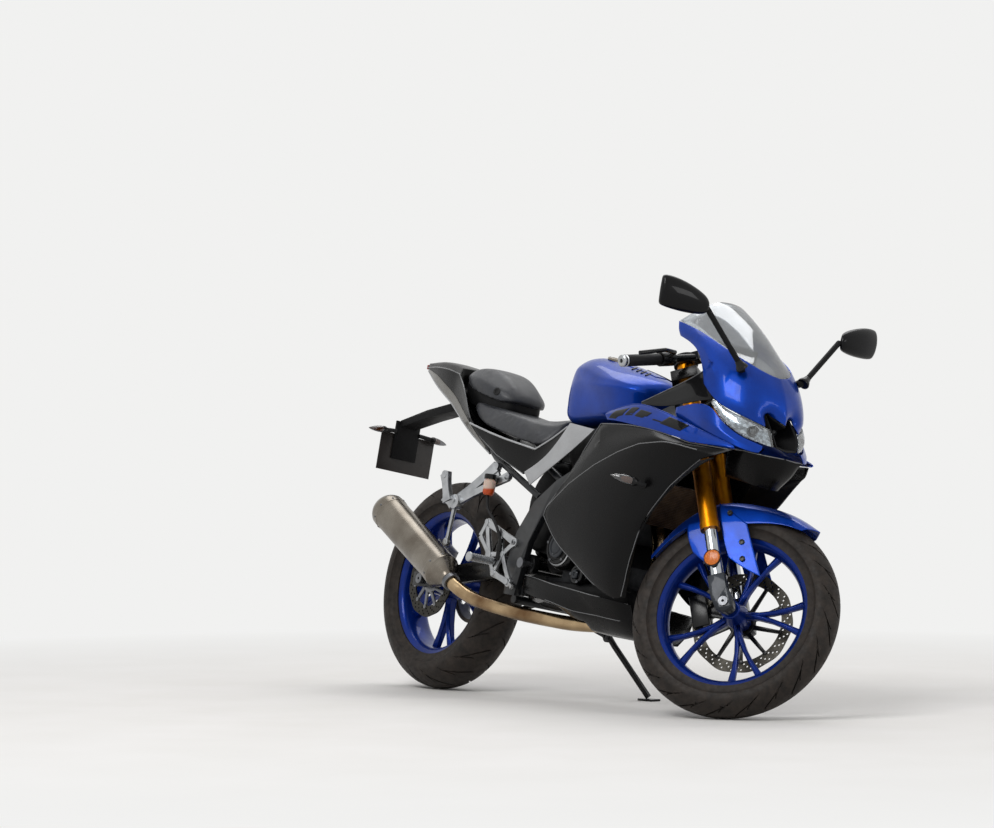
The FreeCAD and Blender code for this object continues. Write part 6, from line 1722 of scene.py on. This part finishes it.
bolts("cover_bolts", [(standing(*spot), right) for spot in around], 4, 3, ZINC_STEEL)
print(len(ENGINE_CAPS), "covers and", len(around), "bolts")

# %% [markdown]
# Panel edges catch the sky as light lines. A bead a few millimetres wide runs along each of them, set
# down on the panel, in a grey that is painted highlight, lighter and glossier than the panel itself.
# The tail and the seat have silver trim in the same places.

# %% Edge beads
# The beads' light grey is painted highlight: it stands in for the light that the black panels' edges catch.
PAINTED_EDGE_HIGHLIGHT = moulded_plastic("painted_edge_highlight_grey", "#4E4F51", "#616264", 0.24, 4.0, 0.002, 0.2, 0.5)
scene_objects = bpy.data.objects
bpy.context.view_layer.update()
EDGE_LINES = (
    # name, panel, radius of the bead, finish, points of the right side (x, distance from the middle, z)
    ("fairing_top_line", "side_fairing_skins", 1.5, PAINTED_EDGE_HIGHLIGHT,
     ((852, 174, 786), (1000, 187, 783), (1126, 191, 767), (1274, 181, 736), (1400, 142, 727))),
    ("fairing_crease", "side_fairing_skins", 1.7, PAINTED_EDGE_HIGHLIGHT,
     ((668, 186, 540), (773, 200, 606), (893, 212, 662), (1000, 216, 700),
      (1092, 217, 724), (1200, 212, 733), (1320, 196, 722))),
    ("fairing_rear_line", "side_fairing_skins", 1.6, PAINTED_EDGE_HIGHLIGHT,
     ((848, 174, 786), (796, 178, 712), (752, 180, 640), (730, 190, 598), (664, 186, 536))),
    ("fairing_low_line", "side_fairing_skins", 1.4, PAINTED_EDGE_HIGHLIGHT,
     ((664, 186, 536), (655, 182, 515), (706, 180, 460), (754, 178, 425),
      (800, 174, 400), (905, 172, 338), (1016, 161, 298))),
    ("fairing_front_line", "side_fairing_skins", 1.3, PAINTED_EDGE_HIGHLIGHT,
     ((1330, 178, 690), (1230, 192, 612), (1124, 187, 508), (1082, 177, 400), (1048, 160, 302))),
    ("belly_top_line", "belly_pan_skin", 1.6, PAINTED_EDGE_HIGHLIGHT,
     ((534, 126, 347), (690, 142, 325), (900, 146, 300), (1030, 120, 285))),
    ("belly_crease", "belly_pan_skin", 1.2, PAINTED_EDGE_HIGHLIGHT,
     ((534, 122, 300), (690, 138, 274), (800, 130, 252), (900, 124, 246), (1000, 116, 236))),
    ("tail_low_line", "tail_skin", 2.6, SILVER_LACQUER,
     ((-284, 26, 968), (-205, 48, 925), (-125, 60, 885), (-55, 70, 850),
      (28, 84, 802), (104, 96, 760), (228, 106, 702))),
    ("tail_fin_line", "tail_skin", 1.8, PAINTED_EDGE_HIGHLIGHT,
     ((-284, 31, 978), (-190, 62, 975), (-92, 82, 962),
      (-20, 90, 946), (52, 108, 888), (108, 116, 806))),
    ("seat_trim", "side_panel_skins", 3.0, SILVER_LACQUER,
     ((124, 122, 790), (232, 127, 764), (330, 128, 743),
      (478, 124, 716), (538, 109, 752), (588, 99, 789))),
    ("side_panel_line", "side_panel_skins", 1.4, PAINTED_EDGE_HIGHLIGHT,
     ((182, 121, 750), (290, 126, 697), (360, 132, 673), (450, 134, 642))),
    ("strip_top_line", "side_strip_skins", 1.2, BLUE_LACQUER,
     ((872, 172, 821), (935, 172, 836), (1006, 170, 848),
      (1140, 172, 821), (1290, 164, 776), (1412, 143, 738))),
    ("infill_line", "infill_skins", 1.5, PAINTED_EDGE_HIGHLIGHT,
     ((1002, 160, 851), (1090, 150, 885), (1178, 142, 919), (1257, 139, 955))),
    ("chin_line", "chin_skin", 1.5, PAINTED_EDGE_HIGHLIGHT,
     ((1342, 94, 736), (1410, 97, 731), (1458, 72, 725), (1473, 4, 725))),
)
for name, panel, radius, material, points in EDGE_LINES:
    for side, word in SIDES:
        line = between_points([standing(x, side * y, z) for x, y, z in points])
        tube_part(f"{name}_{word}", on_panel(scene_objects[panel], line), radius / 1000, 3, material)
print(len(EDGE_LINES) * 2, "edge beads")

# %% [markdown]
# The tail's flank below its crease is a narrow polished facet that catches the sky. It is a strip of
# three rows set down on the tail and lifted by less than a millimetre, whose light grey is painted
# reflection.

# %% Bright flank of the tail
# The strip's light bronze grey is painted reflection: it stands in for the sky that the black facet mirrors.
FLANK_PAINTED_REFLECTION = metallic_lacquer("painted_sky_reflection_grey", "#6E6C66", "#5A5752", "#A5A39C", 0.7, 0.3)
FLANK_LOW = ((-282, 28, 964), (-205, 49, 925), (-125, 61, 885), (-55, 71, 850),
             (28, 85, 802), (104, 97, 760), (200, 105, 714))
FLANK_HIGH = ((-278, 33, 974), (-186, 62, 948), (-100, 76, 908), (-28, 86, 872),
              (50, 98, 822), (118, 108, 776), (204, 110, 722))
for side, word in SIDES:
    low, high = (between_points([standing(x, side * y, z) for x, y, z in line], 4)
                 for line in (FLANK_LOW, FLANK_HIGH))
    rows = []
    for share in (0, 0.5, 1):
        points = [start.lerp(end, share) for start, end in zip(low, high)]
        rows.append(on_panel(scene_objects["tail_skin"], points, 0.0009))
    flank = grid_sheet(f"tail_flank_{word}", rows, lambda *point: Vector(point))
    face_away(flank, standing(-30, 0, 880))
    skinned(flank, 0.0012, 1, 0.0002)
    fit(flank, "chassis", FLANK_PAINTED_REFLECTION)
print("flank of", len(low), "points")

# %% [markdown]
# The blue strip above the fairing carries dark slanted bars, as cut film would: each is a small
# patch laid on the strip and lifted by less than a millimetre.

# %% Dark bars on the strip
BARS = (
    # rear end, front end, low and high share across the strip
    (905, 965, 0.15, 0.85), (975, 1010, 0.15, 0.85), (1022, 1075, 0.2, 0.8), (1150, 1240, 0.35, 0.95),
    (1095, 1140, 0.1, 0.5),
)
BAR_SLANT = 22


def strip_point(x, share, side):
    """A point on the strip, from its lower edge (0) to its upper edge (1)."""
    top = 821 + (x - 870) * 0.21 if x < 1006 else 849 - (x - 1006) * 0.205
    bottom = 797 - (x - 884) * 0.115 if x < 1134 else 768 - (x - 1134) * 0.2
    return standing(x, side * (182 + 8 * math.sin(math.pi * share)), bottom + (top - bottom) * share)


for side, word in SIDES:
    patch_parts = []
    for start, end, low_share, high_share in BARS:
        rows = []
        for step in range(5):
            share = low_share + (high_share - low_share) * step / 4
            slant = BAR_SLANT * (step / 4 - 0.5)
            points = [strip_point(start + (end - start) * part / 5 + slant, share, side) for part in range(6)]
            rows.append(on_panel(scene_objects["side_strip_skins"], points, 0.0008))
        patch = grid_sheet("patch", rows, lambda *point: Vector(point))
        face_away(patch, standing(1050, 0, 800))
        patch_parts.append(skinned(patch, 0.0012, 1, 0.0002))
    fit(joined(patch_parts, f"strip_bars_{word}"), "chassis", BLACK_LACQUER)
print(len(BARS), "bars on each side")

# %% [markdown]
# The filler cap is a turned ring with a lock, and the cover behind the steering head is a shallow
# panel with four cooling slots on each side.

# %% Filler cap
CAP = ((0.3, -4), (41, -4), (41, 1.5), (39, 3.2), (33, 3.4), (32, 2.2), (30, 2.2), (29, 4.5), (27, 5.4),
       (12, 6), (11, 5), (0.3, 5))
CAP_BOLTS = 7
_, spot, normal, _ = tank.closest_point_on_mesh(standing(668, 0, 1030))
cap_turn = normal.to_track_quat("Y", "Z").to_matrix().to_4x4()
turned_part("filler_cap", CAP, 60, Matrix.Translation(spot) @ cap_turn, 30, "chassis", BRUSHED_STAINLESS)
around_cap = []
for number in range(CAP_BOLTS):
    turn = math.tau * number / CAP_BOLTS
    out = cap_turn.to_3x3() @ Vector((math.cos(turn) * 0.036, 0.0028, math.sin(turn) * 0.036))
    around_cap.append((spot + out, normal))
bolts("cap_bolts", around_cap, 2.6, 1.6, ZINC_STEEL)

# %% Slots and cover on the tank
SLOT_STEP = 24
SLOT_RADIUS = 0.0032
for side, word in SIDES:
    ribs = []
    for number in range(4):
        x = 772 + number * SLOT_STEP
        points = [standing(x + step * 5, side * (20 + step * 8), 1000) for step in range(6)]
        ribs.append(tube_along("slot", on_panel(tank, points, 0.0004), SLOT_RADIUS, 4))
    slots = joined(ribs, f"tank_slots_{word}")
    smooth(slots, 60)
    fit(slots, "chassis", BLACK_ENAMEL)
cover_rows = []
for step in range(7):
    x = 740 + step * 24
    half = 44 - step * 3
    points = [standing(x, half * part / 3, 1020) for part in range(-3, 4)]
    cover_rows.append(on_panel(tank, points, 0.002))
cover = grid_sheet("tank_cover", cover_rows, lambda *point: Vector(point))
face_away(cover, standing(800, 0, 900))
skinned(cover, 0.003, 2, 0.0006)
fit(cover, "chassis", BLUE_LACQUER)

# %% Base under the passenger's seat, and the round button on the seat's right side
BASE_SECTIONS = (
    # top middle, top, shoulder, side, underside
    ((-34, 0, 944), (-32, 56, 940), (-30, 62, 930), (-30, 58, 905), (-30, 0, 905)),
    ((40, 0, 910), (42, 78, 908), (46, 84, 896), (46, 80, 850), (46, 0, 850)),
    ((120, 0, 892), (122, 78, 890), (124, 84, 880), (126, 80, 846), (126, 0, 846)),
    ((190, 0, 882), (191, 72, 880), (192, 78, 870), (192, 76, 836), (192, 0, 836)),
    ((226, 0, 876), (226, 50, 874), (226, 54, 866), (224, 54, 832), (224, 0, 832)),
)
seat_base = closed_loft("pillion_base", BASE_SECTIONS, (1, 3), 0.6)
fit(seat_base, "chassis", GRAINED_POLYPROPYLENE)
_, spot, normal, _ = pillion_pad.closest_point_on_mesh(standing(188, -100, 896))
bolts("seat_button", [(spot - normal * 0.001, normal)], 12, 3.5, GRIP_RUBBER)

# %% [markdown]
# The radiator core is a stack of thin fins between flat tubes: one bar is made at its size and
# copied up the face of the core.

# %% Radiator fins
FINS = 26
FIN_SIZE = Vector((3.4, 196, 2.2))
CORE_FOOT, CORE_TOP = Vector((1035.2, 0, 516)), Vector((1055.2, 0, 636))
fin_parts = []
for number in range(FINS):
    middle = CORE_FOOT.lerp(CORE_TOP, (number + 0.7) / (FINS + 1))
    fin = block("fin")
    for corner in fin.data.vertices:
        corner.co = (middle + corner.co * FIN_SIZE) / 1000
    fin_parts.append(fin)
fins = joined(fin_parts, "radiator_fin_stack")
fins.data.transform(STANDING)
fit(fins, "chassis", RADIATOR_FINS)
print("radiator", len(fins.data.polygons), "faces")

# %% [markdown]
# Behind the frame's beams the real bike is full: an airbox under the tank, an inner mudguard ahead of
# the rear wheel, the gearbox and the sump above the belly pan. Four closed shells stand there, so no
# daylight shows.

# %% Airbox, inner mudguard, gearbox and sump
INNER_SHELLS = (
    # name, half sections: top middle, top, upper edge, lower edge, bottom, bottom middle
    ("airbox_shell", (
        ((526, 0, 790), (526, 46, 789), (527, 54, 782), (528, 54, 728), (528, 46, 720), (528, 0, 719)),
        ((606, 0, 792), (606, 64, 791), (608, 72, 784), (610, 72, 668), (610, 62, 652), (610, 0, 650)),
        ((670, 0, 792), (670, 76, 790), (672, 86, 774), (674, 86, 612), (674, 76, 596), (674, 0, 594)),
        ((760, 0, 794), (760, 80, 792), (762, 92, 776), (764, 92, 572), (764, 80, 556), (764, 0, 554)),
        ((862, 0, 806), (862, 70, 804), (862, 80, 790), (862, 80, 660), (862, 70, 646), (862, 0, 644)))),
    ("inner_mudguard", (
        ((386, 0, 566), (386, 50, 562), (388, 58, 552), (390, 58, 484), (390, 50, 472), (390, 0, 470)),
        ((434, 0, 656), (434, 56, 652), (436, 66, 640), (438, 66, 444), (438, 56, 432), (438, 0, 430)),
        ((500, 0, 690), (500, 64, 686), (502, 74, 674), (504, 74, 428), (504, 64, 416), (504, 0, 414)),
        ((584, 0, 700), (584, 64, 696), (586, 74, 684), (586, 74, 452), (586, 64, 440), (586, 0, 438)))),
    ("gearbox_shell", (
        ((520, 0, 520), (520, 52, 518), (522, 60, 508), (522, 60, 400), (520, 52, 390), (520, 0, 388)),
        ((560, 0, 552), (560, 60, 550), (562, 68, 540), (562, 68, 372), (560, 60, 362), (560, 0, 360)),
        ((640, 0, 600), (640, 64, 598), (642, 71, 588), (642, 71, 372), (640, 62, 362), (640, 0, 360)),
        ((700, 0, 612), (700, 64, 610), (700, 71, 600), (700, 71, 372), (700, 62, 362), (700, 0, 360)))),
    ("sump", (
        ((536, 0, 340), (536, 88, 338), (536, 98, 330), (536, 98, 270), (536, 88, 260), (536, 0, 258)),
        ((700, 0, 342), (700, 94, 340), (700, 104, 330), (700, 104, 264), (700, 94, 254), (700, 0, 252)),
        ((900, 0, 340), (900, 90, 338), (900, 98, 328), (900, 98, 262), (900, 88, 250), (900, 0, 248)),
        ((1000, 0, 330), (1000, 70, 328), (1000, 78, 318), (1000, 78, 262), (1000, 70, 250), (1000, 0, 248)),
    )),
)
for name, sections in INNER_SHELLS:
    fit(closed_loft(name, sections, (1, 2, 3, 4), 0.7), "chassis", GRAINED_POLYPROPYLENE)
print(len(INNER_SHELLS), "inner shells")

# %% [markdown]
# ## Camera, floor and light
# The camera stands where the photographer did, low and far off, with a long lens. The floor is plain
# and pale and the light is soft. The floor and the world look pale to the camera, to reflections and
# through glass, and light the bike at a plain level otherwise.

# %% Camera
PHOTO_WIDTH = 994
FOCAL_PIXELS = 3950.1
SENSOR = 36
LOOKS_DOWN = 0.164
HEADING = 54.81
EYE = Vector((9.8077, -6.6959, 0.8602)) + Vector((-0.60473, -0.21443, 0.0))
unselect()
bpy.ops.object.camera_add(location=EYE, rotation=(math.radians(90 - LOOKS_DOWN), 0, math.radians(HEADING)))
camera = bpy.context.object
camera.data.sensor_width = SENSOR
camera.data.lens = FOCAL_PIXELS / PHOTO_WIDTH * SENSOR
camera.data.clip_end = 200
bpy.context.scene.camera = camera
print("lens", round(camera.data.lens, 1), "mm")

# %% Floor and backdrop
PALE = "#F1F1F0"
FADE_START = 1300
FADE_END = 3600


def seen_directly(tree):
    """1 for the camera's rays and for those that a reflection or a pane sends on, otherwise 0."""
    path = add(tree, "ShaderNodeLightPath")
    seen = path.outputs["Is Camera Ray"]
    for kind in ("Is Glossy Ray", "Is Transmission Ray"):
        either = add(tree, "ShaderNodeMath", {"operation": "MAXIMUM"}, {0: seen, 1: path.outputs[kind]})
        seen = either.outputs[0]
    return seen


unselect()
bpy.ops.mesh.primitive_plane_add(size=60, location=(0, 0, -0.0005))
floor = named("studio_floor")
floor_paint, tree, place = new_finish("pale_floor_paint")
paint = add(tree, "ShaderNodeBsdfPrincipled", {"Specular IOR Level": 0.2},
            {"Base Color": mottled(tree, place, 400, "#E6E4E1", "#EBE9E7"),
             "Roughness": patches(tree, place, 60, 0.8, 0.9)})
glow = add(tree, "ShaderNodeEmission", {"Color": linear(PALE), "Strength": 1.0})
distance = add(tree, "ShaderNodeVectorMath", {"operation": "LENGTH"}, {0: place}).outputs["Value"]
fade = add(tree, "ShaderNodeMapRange", {"From Min": FADE_START, "From Max": FADE_END}, {"Value": distance})
share = add(tree, "ShaderNodeMath", {"operation": "MULTIPLY"},
            {0: fade.outputs["Result"], 1: seen_directly(tree)})
blend = add(tree, "ShaderNodeMixShader", None, {0: share.outputs[0], 1: paint.outputs[0], 2: glow.outputs[0]})
add(tree, "ShaderNodeOutputMaterial", None, {"Surface": blend.outputs[0]})
floor.data.materials.append(floor_paint)

# %% World
bpy.context.scene.view_settings.view_transform = "Standard"
world = bpy.data.worlds.new("pale_studio")
bpy.context.scene.world = world
world.use_nodes = True
tree = world.node_tree
tree.nodes.clear()
seen = seen_directly(tree)
lit = add(tree, "ShaderNodeBackground", {"Color": (1, 1, 1, 1), "Strength": 0.4})
shown = add(tree, "ShaderNodeBackground", {"Color": linear(PALE), "Strength": 1.0})
mixed = add(tree, "ShaderNodeMixShader", None, {0: seen, 1: lit.outputs[0], 2: shown.outputs[0]})
add(tree, "ShaderNodeOutputWorld", None, {"Surface": mixed.outputs[0]})

# %% Lamps
LAMPS = (
    # name, place, what it looks at, width, height, watts
    ("key_light", (1.5, -4.5, 5.0), (0, 0, 0.6), 3.0, 2.4, 185),
    ("top_light", (-1.5, 1.5, 5.0), (0, 0, 0.5), 4.0, 3.0, 110),
    ("front_light", (6.0, 1.5, 2.5), (0.3, 0, 0.6), 2.4, 1.6, 45),
)
for name, place, target, wide, tall, power in LAMPS:
    unselect()
    bpy.ops.object.light_add(type="AREA", location=place)
    lamp = bpy.context.object
    lamp.name = name
    lamp.data.shape = "RECTANGLE"
    lamp.data.size = wide
    lamp.data.size_y = tall
    lamp.data.energy = power
    lamp.rotation_euler = (Vector(target) - Vector(place)).to_track_quat("-Z", "Y").to_euler()
print(len(LAMPS), "soft lamps")
